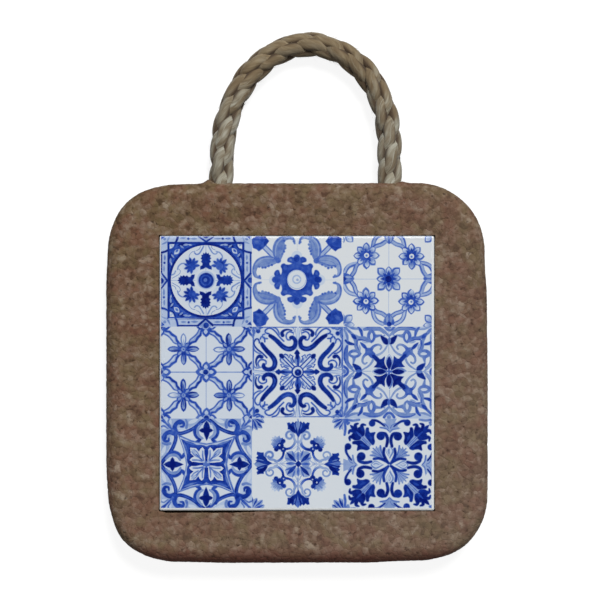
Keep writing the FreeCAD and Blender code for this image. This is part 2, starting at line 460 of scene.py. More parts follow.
# Rosette: a scalloped flower with curled leaf pairs at its corners
def rosette(p):
    p.put(ONE, 0.02, square(1.1))
    outer = [-0.43 + 0.43j, -0.51 + 0.58j, -0.49 + 0.78j, -0.39 + 0.91j, -0.22 + 0.96j, -0.09 + 0.92j,
             -0.05 + 0.8j]
    inner = [-0.09 + 0.86j, -0.16 + 0.885j, -0.245 + 0.86j, -0.275 + 0.81j, -0.255 + 0.7j, -0.3 + 0.57j,
             -0.36 + 0.44j]
    p.bar(FOUR, 0.28, [-0.76 + 0.76j, -0.48 + 0.48j], 0.085)
    p.bar(EIGHT, 0.58, [-0.77 + 0.71j, -0.52 + 0.46j], 0.022)
    p.put(EIGHT, 0.46, smooth(outer + inner, closed=True), fade=(0.38, -0.43 + 0.43j, -0.2 + 0.96j))
    p.line(EIGHT, 0.56, outer, 0.045, 0.03, 0.028, 0.034)
    p.line(EIGHT, 0.52, [-0.41 + 0.46j, -0.42 + 0.62j, -0.385 + 0.78j, -0.3 + 0.87j], 0.022, 0.016)
    p.line(EIGHT, 0.32, [-0.46 + 0.52j, -0.465 + 0.66j, -0.425 + 0.8j, -0.33 + 0.9j], 0.02, 0.035)
    p.line(EIGHT, 0.48, [-0.38 + 0.48j, -0.335 + 0.6j, -0.3 + 0.72j, -0.3 + 0.82j], 0.045, 0.025)
    for spot in (-0.285 + 0.83j, -0.268 + 0.755j, -0.272 + 0.69j, -0.295 + 0.62j, -0.325 + 0.55j,
                 -0.075 + 0.83j):
        p.dot(EIGHT, 0.58, spot, 0.024, 8)
    p.dot(FOUR, 0.55, -0.42 + 0.42j, 0.06)
    cup = [-1.01 + 0.89j, -0.906 + 0.966j, -0.7 + 0.966j, -0.67 + 0.89j, -0.625 + 0.84j, -0.69 + 0.75j,
           -0.75 + 0.69j, -0.84 + 0.625j, -0.89 + 0.67j, -0.966 + 0.7j, -1.01 + 0.8j]
    p.put(FOUR, 0.74, cup)
    p.put(FOUR, 0.84, [-0.7 + 0.94j, -0.67 + 0.89j, -0.625 + 0.84j, -0.69 + 0.75j, -0.74 + 0.74j])
    p.leaf(FOUR, 0.64, -0.95 + 0.88j, -0.8 + 0.76j, 0.08)
    p.dot(FOUR, 0.11, 0.5j, 0.12)
    half = [0.545j, 0.05 + 0.52j, 0.075 + 0.48j, 0.13 + 0.495j, 0.195 + 0.46j, 0.205 + 0.4j,
            0.155 + 0.38j, 0.1 + 0.355j, 0.16 + 0.325j, 0.235 + 0.325j, 0.285 + 0.35j, 0.33 + 0.33j]
    p.put(ONE, 0.74, smooth(eightfold(half), closed=True, steps=3))
    p.dot(FOUR, 0.82, 0.445j, 0.06)
    p.dot(EIGHT, 0.66, 0.135 + 0.435j, 0.03)
    p.dot(FOUR, 0.64, 0.27 + 0.27j, 0.045)
    p.put(ONE, 0.79, hoop(0, 0.235, 0.06))
    p.dot(ONE, 0.05, 0, 0.21, 32)
    p.put(ONE, 0.24, hoop(0, 0.2, 0.02))
    p.put(ONE, 0.3, hoop(0, 0.085, 0.035))
    p.dot(ONE, 0.26, 0, 0.03)
    p.bar(FOUR, 0.1, [0.62j, 0.99j], 0.012)


# Ribbon ring: five flowers, the outer four tied by ribbons
def ribbon_ring(p):
    p.put(ONE, 0.02, square(1.1))
    p.bar(FOUR, 0.2, [0.2j, 0.76j], 0.014)
    inner = [-0.36 + 0.63j, -0.28 + 0.71j, -0.16 + 0.75j, -0.07 + 0.81j]
    outer = [-0.35 + 0.66j, -0.32 + 0.82j, -0.25 + 0.92j, -0.13 + 0.98j]
    for line in (outer, inner):
        p.line(EIGHT, 0.62, line, 0.082)
        p.line(EIGHT, 0.3, line, 0.045)
    p.put(FOUR, 0.6, smooth([-0.11 + 1j, -0.085 + 0.86j, 0.76j, 0.085 + 0.86j, 0.11 + 1j], closed=True))
    p.leaf(FOUR, 0.4, -0.035 + 0.8j, -0.045 + 0.96j, 0.06)
    p.leaf(FOUR, 0.36, 0.035 + 0.8j, 0.045 + 0.96j, 0.06)
    p.dot(FOUR, 0.84, 0.985j, 0.05)
    blossom(p, FOUR, -0.49 + 0.5j, (0.285, 0.275), 0.62, 0.55)
    p.put(FOUR, 0.74, star(-0.49 + 0.5j, 0.17, 0.1, 8))
    p.dot(FOUR, 0.05, -0.49 + 0.5j, 0.055)
    p.dot(FOUR, 0.55, -0.49 + 0.5j, 0.02, 8)
    blossom(p, ONE, 0, (0.27, 0.335), 0.6, 0.6)
    p.put(ONE, 0.74, star(0, 0.19, 0.1, 8))
    p.dot(ONE, 0.95, 0, 0.07)
    blossom(p, FOUR, -1.02 + 1.02j, (0.27, 0.32), 0.55, 0.5)


# Lattice: scalloped diagonals over pale ground, a long-petalled flower in each quarter
ARMS = [(1, False), (-1j, False), (1j, True), (1, True)]


def lattice(p):
    p.put(ONE, 0.07, square(1.1))
    p.bar(ONE, 0.3, [-0.8j, 0.8j], 0.016)
    p.bar(ONE, 0.5, [-0.8 + 0j, 0.8 + 0j], 0.014)
    dark = [-0.43 + 0.45j, -0.38 + 0.385j, -0.305 + 0.375j, -0.25 + 0.315j, -0.165 + 0.265j,
            -0.145 + 0.19j, -0.08 + 0.1j]
    thin = [-0.45 + 0.34j, -0.335 + 0.28j, -0.26 + 0.2j, -0.2 + 0.13j, -0.1 + 0.1j]
    inner = [q - 0.028 - 0.028j for q in dark]
    quarters = ((-0.5 + 0.5j, 1j), (0.5 + 0.5j, -1), (-0.5 - 0.5j, -1), (0.5 - 0.5j, 1))
    for centre, plain_way in quarters:
        for turn, flip in ARMS:
            def place(points):
                return [centre + turn * (q.conjugate() if flip else q) for q in points]
            p.put(ONE, 0.13, place(dark + thin[::-1]))
            p.line(ONE, 0.24, place(inner), 0.04)
            p.line(ONE, 0.62, place(thin), 0.024)
            p.bar(ONE, 0.74, place(dark), 0.054, 0.04, 0.052, 0.04, 0.054)
        for k in range(4):
            slant = 1j ** k * cmath.rect(1, math.pi / 4)
            p.leaf(ONE, 0.72, centre, centre + 0.2 * slant, 0.12)
            p.leaf(ONE, 0.4, centre + 0.06 * slant, centre + 0.17 * slant, 0.05)
        for k in range(4):
            way = 1j ** k
            tip = centre + 0.345 * way
            plain = way == plain_way
            p.leaf(ONE, 0.5 if plain else 0.76, centre + 0.02 * way, tip, 0.12, 0.58, 0.6)
            p.leaf(ONE, 0.1 if plain else 0.48, centre + 0.1 * way, tip - 0.025 * way, 0.075, 0.58, 0.6,
                   fade=(0.08 if plain else 0.34, centre, tip))
            p.leaf(ONE, 0.3 if plain else 0.68, centre + 0.05 * way, tip - 0.1 * way, 0.025)
            if not plain:
                edge = 0.042j * way
                p.leaf(ONE, 0.86, centre + 0.06 * way + edge, tip - 0.05 * way + edge, 0.03)
        p.dot(ONE, 0.64, centre, 0.065, 12)
        p.dot(ONE, 0.4, centre, 0.045, 12)
        p.dot(ONE, 0.6, centre, 0.018, 8)
    for spot in (0, 1, 1j, -1, -1j, 1 + 1j, 1 - 1j, -1 + 1j, -1 - 1j):
        for k in range(4):
            way = 1j ** k
            slant = way * cmath.rect(1, math.pi / 4)
            p.leaf(ONE, 0.68, spot + 0.04 * slant, spot + 0.17 * slant, 0.085)
            p.leaf(ONE, 0.7, spot + 0.03 * way, spot + 0.225 * way, 0.165)
            p.leaf(ONE, 0.2, spot + 0.06 * way, spot + 0.175 * way, 0.085)
        p.dot(ONE, 0.34, spot, 0.08, 12)
        p.dot(ONE, 0.88, spot, 0.055, 12)


# Lyre: bold scroll pairs round an eight-armed star
def lyre(p):
    p.put(ONE, 0.04, square(1.1))
    p.put(FOUR, 0.12, smooth([-1 + 1j, -0.7 + 0.98j, -0.66 + 0.8j, -0.8 + 0.66j, -0.98 + 0.7j],
                             closed=True))
    p.put(ONE, 0.52, polygon_line(square(0.975), 0.026))
    p.line(EIGHT, 0.68, [-0.63 + 0.83j, -0.7 + 0.85j, -0.715 + 0.9j, -0.65 + 0.95j, -0.57 + 0.94j,
                         -0.48 + 0.865j, -0.41 + 0.77j, -0.31 + 0.67j], 0.024)
    p.line(EIGHT, 0.64, [-0.66 + 0.72j, -0.745 + 0.73j, -0.77 + 0.79j, -0.72 + 0.82j], 0.024)
    p.line(EIGHT, 0.66, [-0.1 + 0.84j, -0.17 + 0.865j, -0.235 + 0.83j, -0.255 + 0.76j, -0.22 + 0.69j,
                         -0.165 + 0.69j], 0.024)
    p.line(EIGHT, 0.46, [-0.1 + 0.8j, -0.08 + 0.89j, -0.12 + 0.955j, -0.28 + 0.975j], 0.02)
    p.line(EIGHT, 0.62, [-0.56 + 0.98j, -0.47 + 0.95j, -0.41 + 0.87j, -0.4 + 0.8j], 0.022)
    p.line(EIGHT, 0.93, [-0.325 + 0.8j, -0.34 + 0.85j, -0.295 + 0.905j, -0.21 + 0.925j, -0.12 + 0.905j],
           0.075, 0.065, 0.04, 0.025, 0.015)
    p.dot(FOUR, 0.85, -0.85 + 0.88j, 0.045, 12)
    p.line(EIGHT, 0.64, [-0.99 + 0.78j, -0.93 + 0.86j, -0.97 + 0.95j], 0.035)
    p.line(EIGHT, 0.56, [-0.9 + 0.98j, -0.8 + 0.955j, -0.75 + 0.98j], 0.03)
    p.bar(FOUR, 0.16, [0.5j, 0.98j], 0.055)
    p.line(EIGHT, 0.38, [0.03 + 0.5j, 0.03 + 0.75j, 0.06 + 0.98j], 0.016)
    scroll = [-0.615 + 0.785j, -0.54 + 0.735j, -0.45 + 0.66j, -0.36 + 0.57j, -0.27 + 0.51j,
              -0.18 + 0.495j, -0.095 + 0.53j, -0.058 + 0.61j, -0.065 + 0.69j, -0.115 + 0.745j,
              -0.16 + 0.74j]
    p.line(EIGHT, 0.92, scroll, 0.07, 0.083, 0.089, 0.094, 0.097, 0.097, 0.092, 0.085, 0.08, 0.074, 0.068)
    p.line(EIGHT, 0.78, scroll[3:7], 0.0, 0.045, 0.05, 0.0)
    p.put(EIGHT, 0.13, [0.1 + 0.1j, 0.1 + 0.26j, 0.165 + 0.37j, 0.195 + 0.3j, 0.27 + 0.375j,
                        0.34 + 0.34j])
    p.bar(EIGHT, 0.68, [0.07 + 0.2j, 0.12 + 0.3j, 0.1 + 0.335j, 0.165 + 0.375j, 0.19 + 0.3j,
                        0.215 + 0.36j, 0.27 + 0.385j, 0.33 + 0.345j], 0.02)
    p.leaf(EIGHT, 0.46, 0.1 + 0.17j, 0.16 + 0.33j, 0.03)
    p.bar(FOUR, 0.1, [0.08 + 0.08j, 0.34 + 0.34j], 0.08)
    p.bar(EIGHT, 0.72, [0.1 + 0.05j, 0.34 + 0.29j], 0.02)
    p.leaf(FOUR, 0.95, 0.3 + 0.3j, 0.39 + 0.39j, 0.09, 0.5, 0.7)
    p.leaf(FOUR, 0.36, 0.1j, 0.42j, 0.14, fade=(0.7, 0.1j, 0.4j))
    p.bar(FOUR, 0.76, [0.12j, 0.4j], 0.045)
    p.put(FOUR, 0.95, both([0.485j, 0.03 + 0.45j, 0.06 + 0.4j, 0.03 + 0.375j, 0.022 + 0.29j, 0.26j]))
    p.dot(ONE, 0.8, 0, 0.135, 24)
    p.dot(ONE, 0.1, 0, 0.105, 24)
    p.dot(ONE, 0.88, 0, 0.07)
    p.dot(ONE, 0.6, 0.005 - 0.01j, 0.025, 8)


# Arabesque: a dark cross of petals with interlaced scrolls out to the edges
def arabesque(p):
    p.put(ONE, 0.06, square(1.1))
    p.put(FOUR, 0.2, smooth([-1.02 + 1.02j, -0.3 + 1.02j, -0.56 + 0.9j, -0.74 + 0.74j, -0.9 + 0.56j,
                             -1.02 + 0.3j], closed=True))
    p.bar(FOUR, 0.24, [0.4j, 0.98j], 0.016)
    p.leaf(FOUR, 0.06, -1.0 + 1j, -0.76 + 0.76j, 0.09)
    p.leaf(EIGHT, 0.05, -0.86 + 0.93j, -0.6 + 0.775j, 0.15, 0.55)
    p.leaf(EIGHT, 0.06, -0.575 + 0.94j, -0.52 + 0.75j, 0.12, 0.6)
    p.line(EIGHT, 0.7, [-0.67 + 0.955j, -0.61 + 0.88j, -0.585 + 0.775j], 0.04, 0.065, 0.035)
    p.line(EIGHT, 0.52, [-0.97 + 0.99j, -0.88 + 0.875j, -0.79 + 0.8j], 0.04, 0.05)
    p.line(EIGHT, 0.48, [-0.92 + 0.99j, -0.79 + 0.93j, -0.68 + 0.915j], 0.04, 0.055, 0.035)
    p.line(EIGHT, 0.42, [-0.01 + 0.77j, -0.1 + 0.86j, -0.2 + 0.925j, -0.31 + 0.95j, -0.45 + 0.945j,
                         -0.56 + 0.915j], 0.04, 0.066, 0.09, 0.1, 0.095, 0.05,
           fade=(0.52, -0.1 + 0.86j, -0.5 + 0.94j))
    p.line(EIGHT, 0.64, [-0.2 + 0.955j, -0.31 + 0.985j, -0.45 + 0.975j, -0.57 + 0.93j], 0.015, 0.03, 0.03,
           0.02)
    p.leaf(EIGHT, 0.44, -0.07 + 0.785j, -0.4 + 0.885j, 0.135)
    p.leaf(EIGHT, 0.04, -0.1 + 0.8j, -0.37 + 0.88j, 0.09)
    p.line(EIGHT, 0.5, [-0.32 + 0.76j, -0.25 + 0.775j, -0.17 + 0.79j], 0.07, 0.05, 0.02)
    p.leaf(EIGHT, 0.52, -0.39 + 0.615j, -0.39 + 0.915j, 0.185, 0.5, 0.6)
    p.leaf(EIGHT, 0.12, -0.39 + 0.675j, -0.385 + 0.84j, 0.065, 0.5, 0.6)
    p.line(EIGHT, 0.48, [-0.43 + 0.67j, -0.54 + 0.725j, -0.64 + 0.725j, -0.75 + 0.78j], 0.08, 0.07, 0.07,
           0.05)
    p.line(EIGHT, 0.68, [-0.47 + 0.66j, -0.57 + 0.7j, -0.67 + 0.7j], 0.01, 0.022, 0.03)
    p.leaf(FOUR, 0.8, -0.7 + 0.7j, -0.83 + 0.83j, 0.08)
    p.leaf(EIGHT, 0.3, -0.6 + 0.66j, -0.45 + 0.62j, 0.05)
    p.line(EIGHT, 0.4, [-0.01 + 0.63j, -0.06 + 0.54j, -0.12 + 0.45j, -0.2 + 0.385j, -0.29 + 0.35j], 0.03,
           0.045, 0.055)
    p.line(EIGHT, 0.58, [-0.4 + 0.46j, -0.36 + 0.525j, -0.29 + 0.57j, -0.215 + 0.575j, -0.17 + 0.53j,
                         -0.195 + 0.48j], 0.08, 0.06, 0.05, 0.045, 0.04,
           fade=(0.42, -0.38 + 0.5j, -0.19 + 0.53j))
    lily = [-0.62 + 0.62j, -0.55 + 0.565j, -0.49 + 0.52j, -0.43 + 0.515j, -0.375 + 0.535j,
            -0.365 + 0.455j, -0.31 + 0.4j, -0.24 + 0.24j]
    p.put(FOUR, 0.6, both_diagonal(lily), fade=(0.76, -0.46 + 0.46j, -0.3 + 0.3j))
    p.leaf(FOUR, 0.74, -0.47 + 0.47j, -0.635 + 0.635j, 0.065)
    p.put(EIGHT, 0.93, smooth([-0.02 + 0.6j, -0.11 + 0.63j, -0.175 + 0.785j, -0.09 + 0.755j,
                               -0.02 + 0.7j], closed=True, steps=4))
    p.leaf(FOUR, 0.56, 0.59j, 0.75j, 0.07)
    ear = [-0.37 + 0.37j, -0.325 + 0.375j, -0.265 + 0.325j, -0.21 + 0.27j, -0.165 + 0.275j, -0.1 + 0.335j,
           -0.085 + 0.2j, -0.02 + 0.02j]
    p.put(FOUR, 0.94, both_diagonal(ear))
    p.leaf(FOUR, 0.04, 0.03j, 0.4j, 0.185, 0.52)
    p.leaf(FOUR, 0.56, 0.05j, 0.375j, 0.145, 0.52)
    p.leaf(FOUR, 0.14, 0.055j, 0.37j, 0.13, 0.52)
    p.leaf(FOUR, 0.96, 0.05j, 0.335j, 0.11, 0.5, 0.8)
    p.dot(ONE, 0.7, 0, 0.065)
    p.dot(FOUR, 0.14, 0.032 + 0.032j, 0.016, 8)
    p.line(FOUR, 0.64, [-0.11 + 1j, -0.06 + 0.93j, 0.905j, 0.06 + 0.93j, 0.11 + 1j], 0.05)
    p.dot(FOUR, 0.5, 0.99j, 0.045)


# Ogee: a four-lobed frame round a pointed cartouche, with dark pods on its axes
def ogee(p):
    p.put(ONE, 0.07, square(1.1))
    p.put(FOUR, 0.3, smooth([-1.02 + 1.02j, -0.13 + 1.02j, -0.38 + 0.8j, -0.7 + 0.7j, -0.8 + 0.38j,
                             -1.02 + 0.13j], closed=True))
    p.put(FOUR, 0.14, smooth([-0.99 + 0.99j, -0.78 + 0.98j, -0.8 + 0.8j, -0.98 + 0.78j], closed=True))
    p.leaf(EIGHT, 0.12, -0.17 + 0.985j, -0.42 + 0.89j, 0.08)
    p.leaf(EIGHT, 0.16, -0.66 + 0.76j, -0.38 + 0.8j, 0.08)
    edge = [1.01j, -0.13 + 0.905j, -0.25 + 0.805j, -0.37 + 0.735j, -0.5 + 0.685j, -0.6 + 0.67j,
            -0.7 + 0.7j]
    p.line(EIGHT, 0.86, edge, 0.08, 0.07, 0.07, 0.075)
    p.line(EIGHT, 0.68, edge, 0.036, 0.03, 0.026, 0.036)
    p.line(EIGHT, 0.74, [-0.68 + 0.69j, -0.7 + 0.8j, -0.66 + 0.89j, -0.58 + 0.94j, -0.505 + 0.9j,
                         -0.51 + 0.83j, -0.57 + 0.82j], 0.12, 0.1, 0.085, 0.08, 0.065, 0.05, 0.03)
    p.leaf(EIGHT, 0.84, -0.64 + 0.87j, -0.5 + 0.93j, 0.06)
    p.line(EIGHT, 0.5, [-0.44 + 0.8j, -0.42 + 0.88j, -0.45 + 0.97j], 0.06, 0.04)
    p.line(EIGHT, 0.66, [-0.97 + 0.95j, -0.87 + 0.88j, -0.79 + 0.81j], 0.035, 0.03)
    p.line(EIGHT, 0.56, [-0.81 + 0.985j, -0.83 + 0.92j, -0.77 + 0.83j], 0.03, 0.025)
    p.bar(FOUR, 0.6, [-0.84 + 0.84j, -0.72 + 0.72j], 0.035, 0.05)
    p.line(EIGHT, 0.76, [-0.2 + 0.85j, -0.245 + 0.76j, -0.24 + 0.67j, -0.2 + 0.595j, -0.135 + 0.55j,
                         -0.21 + 0.475j], 0.06, 0.075, 0.065, 0.06, 0.07)
    p.line(EIGHT, 0.4, [-0.1 + 0.88j, -0.175 + 0.79j, -0.185 + 0.69j, -0.15 + 0.62j, -0.08 + 0.57j], 0.05,
           0.07, 0.05)
    p.leaf(EIGHT, 0.12, -0.1 + 0.86j, -0.12 + 0.76j, 0.045)
    p.leaf(FOUR, 0.94, 0.5j, 0.93j, 0.145, 0.58, 0.8)
    p.leaf(FOUR, 0.94, -0.15 + 0.735j, 0.15 + 0.735j, 0.11, 0.5, 0.65)
    cartouche = [0.445j, 0.12 + 0.465j, 0.33 + 0.515j, 0.65 + 0.63j]
    p.put(ONE, 0.56, eightfold(cartouche))
    p.put(ONE, 0.2, eightfold([0.42j, 0.12 + 0.442j, 0.33 + 0.488j, 0.6 + 0.585j]))
    band = [0.385j, 0.05 + 0.415j, 0.11 + 0.43j, 0.2 + 0.425j, 0.33 + 0.455j, 0.565 + 0.555j]
    p.put(ONE, 0.74, eightfold(band))
    p.leaf(EIGHT, 0.62, 0.2 + 0.405j, 0.5 + 0.505j, 0.05)
    p.put(ONE, 0.86, eightfold([0.355j, 0.07 + 0.39j, 0.12 + 0.385j, 0.18 + 0.36j, 0.26 + 0.39j,
                                0.39 + 0.39j]))
    leaf = [0.03 + 0.03j, 0.035 + 0.2j, 0.05 + 0.32j, 0.09 + 0.37j, 0.135 + 0.33j, 0.165 + 0.27j,
            0.23 + 0.345j, 0.36 + 0.36j]
    p.put(FOUR, 0.08, leaf + [1j * q.conjugate() for q in reversed(leaf[:-1])])
    p.bar(FOUR, 0.6, [0.07 + 0.07j, 0.25 + 0.25j], 0.03, 0.018)
    p.line(EIGHT, 0.55, [0.065 + 0.08j, 0.085 + 0.18j, 0.085 + 0.29j], 0.028, 0.016)
    p.line(EIGHT, 0.5, [0.15 + 0.17j, 0.2 + 0.26j, 0.27 + 0.32j], 0.022, 0.014)
    p.leaf(FOUR, 0.26, 0.22 + 0.22j, 0.34 + 0.34j, 0.05)
    p.leaf(FOUR, 0.88, 0.06j, 0.39j, 0.08, 0.6)
    p.dot(ONE, 0.58, 0, 0.075)
    p.dot(FOUR, 0.22, 0.05 + 0.05j, 0.02, 8)


# Tulip wheel: bells on the axes, cornflowers on the diagonals
def tulip_wheel(p):
    p.put(ONE, 0.04, square(1.1))
    p.bar(FOUR, 0.44, [0.3j, 0.99j], 0.016)
    p.line(FOUR, 0.2, [0.42j, -0.12 + 0.33j, -0.3 + 0.3j, -0.33 + 0.12j, -0.42], 0.02)
    p.line(EIGHT, 0.26, [-0.02 + 0.36j, -0.07 + 0.26j, -0.18 + 0.24j, -0.24 + 0.21j], 0.022)
    p.dot(FOUR, 0.32, -0.155 + 0.155j, 0.13)
    p.dot(FOUR, 0.32, 0.17j, 0.09)
    p.leaf(EIGHT, 0.54, -0.06 + 0.11j, -0.13 + 0.29j, 0.045)
    p.leaf(FOUR, 0.58, 0.04j, 0.27j, 0.06)
    p.leaf(FOUR, 0.88, -0.04 + 0.04j, -0.25 + 0.25j, 0.08)
    p.dot(ONE, 0.93, 0, 0.07, 4)
    p.line(EIGHT, 0.4, [-0.055 + 0.5j, -0.085 + 0.41j, -0.18 + 0.335j, -0.33 + 0.315j], 0.055, 0.055,
           0.05, 0.06, fade=(0.92, -0.06 + 0.48j, -0.28 + 0.32j))
    p.line(EIGHT, 0.32, [-0.05 + 0.47j, -0.09 + 0.55j, -0.1 + 0.63j, -0.16 + 0.69j], 0.06, 0.05, 0.03)
    p.line(EIGHT, 0.4, curl(-0.185 + 0.61j, 0.1, 80, 340), 0.042, 0.034)
    bell = [0.565j, 0.05 + 0.66j, 0.1 + 0.725j, 0.17 + 0.75j, 0.23 + 0.75j, 0.225 + 0.81j, 0.245 + 0.885j,
            0.2 + 0.895j, 0.16 + 0.865j, 0.12 + 0.91j, 0.085 + 0.88j, 0.05 + 0.925j, 0.03 + 0.895j,
            0.935j]
    p.put(FOUR, 0.84, both(bell))
    p.leaf(EIGHT, 0.92, 0.05 + 0.66j, 0.2 + 0.86j, 0.09)
    p.leaf(FOUR, 0.48, 0.64j, 0.95j, 0.1, 0.75)
    p.leaf(EIGHT, 0.55, 0.06 + 0.74j, 0.1 + 0.88j, 0.03)
    fan = [-0.35 + 0.35j, -0.33 + 0.47j, -0.345 + 0.57j, -0.4 + 0.555j, -0.42 + 0.615j, -0.475 + 0.58j,
           -0.52 + 0.615j, -0.545 + 0.57j, -0.585 + 0.585j]
    p.put(FOUR, 0.86, fan + [-1j * q.conjugate() for q in reversed(fan[:-1])],
          fade=(0.16, -0.38 + 0.38j, -0.54 + 0.54j))
    for spot in (-0.4 + 0.56j, -0.46 + 0.55j, -0.52 + 0.54j):
        p.bar(EIGHT, 0.46, [-0.4 + 0.42j, spot], 0.018)
    p.dot(EIGHT, 0.92, -0.32 + 0.485j, 0.045, 10)
    p.line(EIGHT, 0.9, [-0.37 + 0.38j, -0.36 + 0.44j, -0.33 + 0.48j], 0.085, 0.06)
    p.dot(FOUR, 0.9, -0.39 + 0.39j, 0.075)
    p.dot(FOUR, 0.2, -0.405 + 0.405j, 0.02, 8)
    p.dot(FOUR, 0.9, -0.32 + 0.32j, 0.055)
    p.dot(FOUR, 0.3, -0.32 + 0.32j, 0.018, 8)
    for turn in (0, 22, 45, 68, 90):
        way = cmath.rect(1, -math.radians(turn))
        far = 0.34 if turn == 45 else 0.31
        p.put(FOUR, 0.36, petal(-1.02 + 1.02j, -1.02 + 1.02j + far * way, 0.15))
        p.leaf(FOUR, 0.76, -1 + 1j + 0.02 * way, -1 + 1j + (far - 0.04) * way, 0.05)


# Thistle wheel: dark thistles on the diagonals, ball-ended scrolls on the axes
def thistle_wheel(p):
    p.put(ONE, 0.05, square(1.1))
    plume = [0.69j, 0.06 + 0.755j, 0.225 + 0.79j, 0.15 + 0.835j, 0.2 + 0.9j, 0.1 + 0.92j, 0.14 + 1.02j,
             1.03j]
    p.put(FOUR, 0.34, both(plume))
    p.line(EIGHT, 0.5, [0.01 + 0.73j, 0.07 + 0.78j, 0.2 + 0.805j], 0.022)
    p.line(EIGHT, 0.5, [0.02 + 0.8j, 0.06 + 0.87j, 0.16 + 0.91j], 0.02)
    p.line(EIGHT, 0.9, [-0.1 + 0.84j, -0.19 + 0.91j, -0.28 + 0.955j, -0.37 + 0.955j], 0.03, 0.04, 0.055)
    p.dot(EIGHT, 0.92, -0.385 + 0.91j, 0.068, 14)
    fan = [-0.38 + 0.38j, -0.32 + 0.33j, -0.29 + 0.41j, -0.26 + 0.35j, -0.205 + 0.43j, -0.185 + 0.33j,
           -0.15 + 0.2j, -0.06 + 0.06j]
    p.put(FOUR, 0.36, both_diagonal(fan))
    p.line(EIGHT, 0.55, [-0.12 + 0.14j, -0.185 + 0.28j, -0.21 + 0.42j], 0.024)
    p.line(EIGHT, 0.5, [-0.16 + 0.18j, -0.23 + 0.28j, -0.285 + 0.39j], 0.018)
    p.bar(FOUR, 0.55, [-0.14 + 0.14j, -0.36 + 0.36j], 0.02)
    p.leaf(FOUR, 0.05, 0j, 0.42j, 0.26, 0.64)
    p.line(EIGHT, 0.9, [-0.03 + 0.03j, -0.09 + 0.12j, -0.135 + 0.24j, -0.12 + 0.355j], 0.045, 0.06, 0.055,
           0.05)
    p.leaf(FOUR, 0.46, 0.12j, 0.41j, 0.17, 0.62)
    p.leaf(FOUR, 0.14, 0.15j, 0.395j, 0.125, 0.62)
    p.leaf(FOUR, 0.36, 0.2j, 0.36j, 0.065, 0.62)
    p.leaf(FOUR, 0.12, 0.22j, 0.345j, 0.03, 0.62)
    p.line(EIGHT, 0.92, [-0.065 + 0.4j, -0.045 + 0.48j, -0.042 + 0.57j, -0.085 + 0.665j, -0.17 + 0.68j],
           0.05, 0.06, 0.06, 0.065)
    p.dot(EIGHT, 0.93, -0.19 + 0.625j, 0.088, 18)
    p.bar(FOUR, 0.36, [-0.4 + 0.4j, -0.64 + 0.64j], 0.12, 0.16)
    p.bar(EIGHT, 0.55, [-0.41 + 0.44j, -0.58 + 0.61j], 0.022)
    head = [-0.8 + 0.8j, -0.715 + 0.78j, -0.665 + 0.82j, -0.585 + 0.82j, -0.54 + 0.75j, -0.545 + 0.655j,
            -0.6 + 0.615j, -0.635 + 0.655j]
    p.put(FOUR, 0.94, smooth(both_diagonal(head), closed=True, steps=3))
    p.line(EIGHT, 0.94, [-0.7 + 0.74j, -0.735 + 0.8j, -0.735 + 0.87j, -0.68 + 0.895j], 0.085, 0.075, 0.06,
           0.025)
    p.line(EIGHT, 0.94, [-0.59 + 0.76j, -0.605 + 0.82j, -0.585 + 0.865j, -0.525 + 0.86j], 0.085, 0.075,
           0.055, 0.025)
    p.leaf(FOUR, 0.92, -0.74 + 0.74j, -0.865 + 0.865j, 0.075, 0.4)
    p.leaf(FOUR, 0.7, -0.6 + 0.6j, -0.74 + 0.74j, 0.045)
    side = [-0.505 + 0.8j, -0.455 + 0.8j, -0.45 + 0.74j, -0.42 + 0.695j, -0.375 + 0.7j, -0.31 + 0.705j,
            -0.335 + 0.64j, -0.335 + 0.57j, -0.32 + 0.5j, -0.35 + 0.435j, -0.4 + 0.455j, -0.475 + 0.55j,
            -0.53 + 0.625j, -0.525 + 0.71j]
    p.put(EIGHT, 0.92, smooth(side, closed=True, steps=3))
    p.leaf(EIGHT, 0.8, -0.38 + 0.5j, -0.45 + 0.66j, 0.05)
    p.line(EIGHT, 0.6, [-0.66 + 0.985j, -0.8 + 0.965j, -0.95 + 0.99j], 0.045)
    p.dot(FOUR, 0.62, -0.97 + 0.97j, 0.075, 10)
    p.dot(EIGHT, 0.5, -0.9 + 0.915j, 0.03, 8)


CELLS = [[roundel, rosette, ribbon_ring], [lattice, lyre, arabesque], [ogee, tulip_wheel, thistle_wheel]]


# Rope: its route from the part, as across in half spacings, share of the reach and share of the drop
SOCKET_FLOOR = -SOCKET_DEPTH / LOOP_REACH
ROUTE = [(-1.0, SOCKET_FLOOR, 1.0), (-1.0, 0.105, 1.0), (-0.945, 0.485, 0.62), (-0.66, 0.81, 0.3),
         (-0.20, 1.0, 0.08), (0.28, 1.0, 0.0), (0.735, 0.815, 0.22), (0.985, 0.495, 0.6),
         (1.0, 0.105, 1.0), (1.0, SOCKET_FLOOR, 1.0)]
# Strands lie right-handed round the route, and their yarns the other way. A lay is the length of one turn.
STRANDS = 3
ROPE_LAY = 44.0
STRAND_OFFSET = 3.4
YARNS = 2
YARN_LAY = -17.0
YARN_RISE = 0.7
YARN_SWAY = 1.45
YARN_DEEP = 2.9
YARN_WIDE = 3.5
YARN_SIDES = 24
RING_STEP = 0.75
# The length of each end, deep in its socket, over which the yarns turn square to the route
END_RUN = 12.0
ROPE_SEED = 5
LARGEST_SHIFT = 6.28
# Slow waves along a strand, each an amount and a run: in its turn, and in how plump it is
LAY_WAVES = ((0.15, 11), (0.08, 5.3))
PLUMP_WAVES = ((0.03, 9), (0.03, 4.3))
# Streaks of fibre wind round a yarn, and differ from one strand and yarn to the next
STREAK_RUN = 40
STREAKS = 4
STRAND_STEP = 20
YARN_STEP = 9
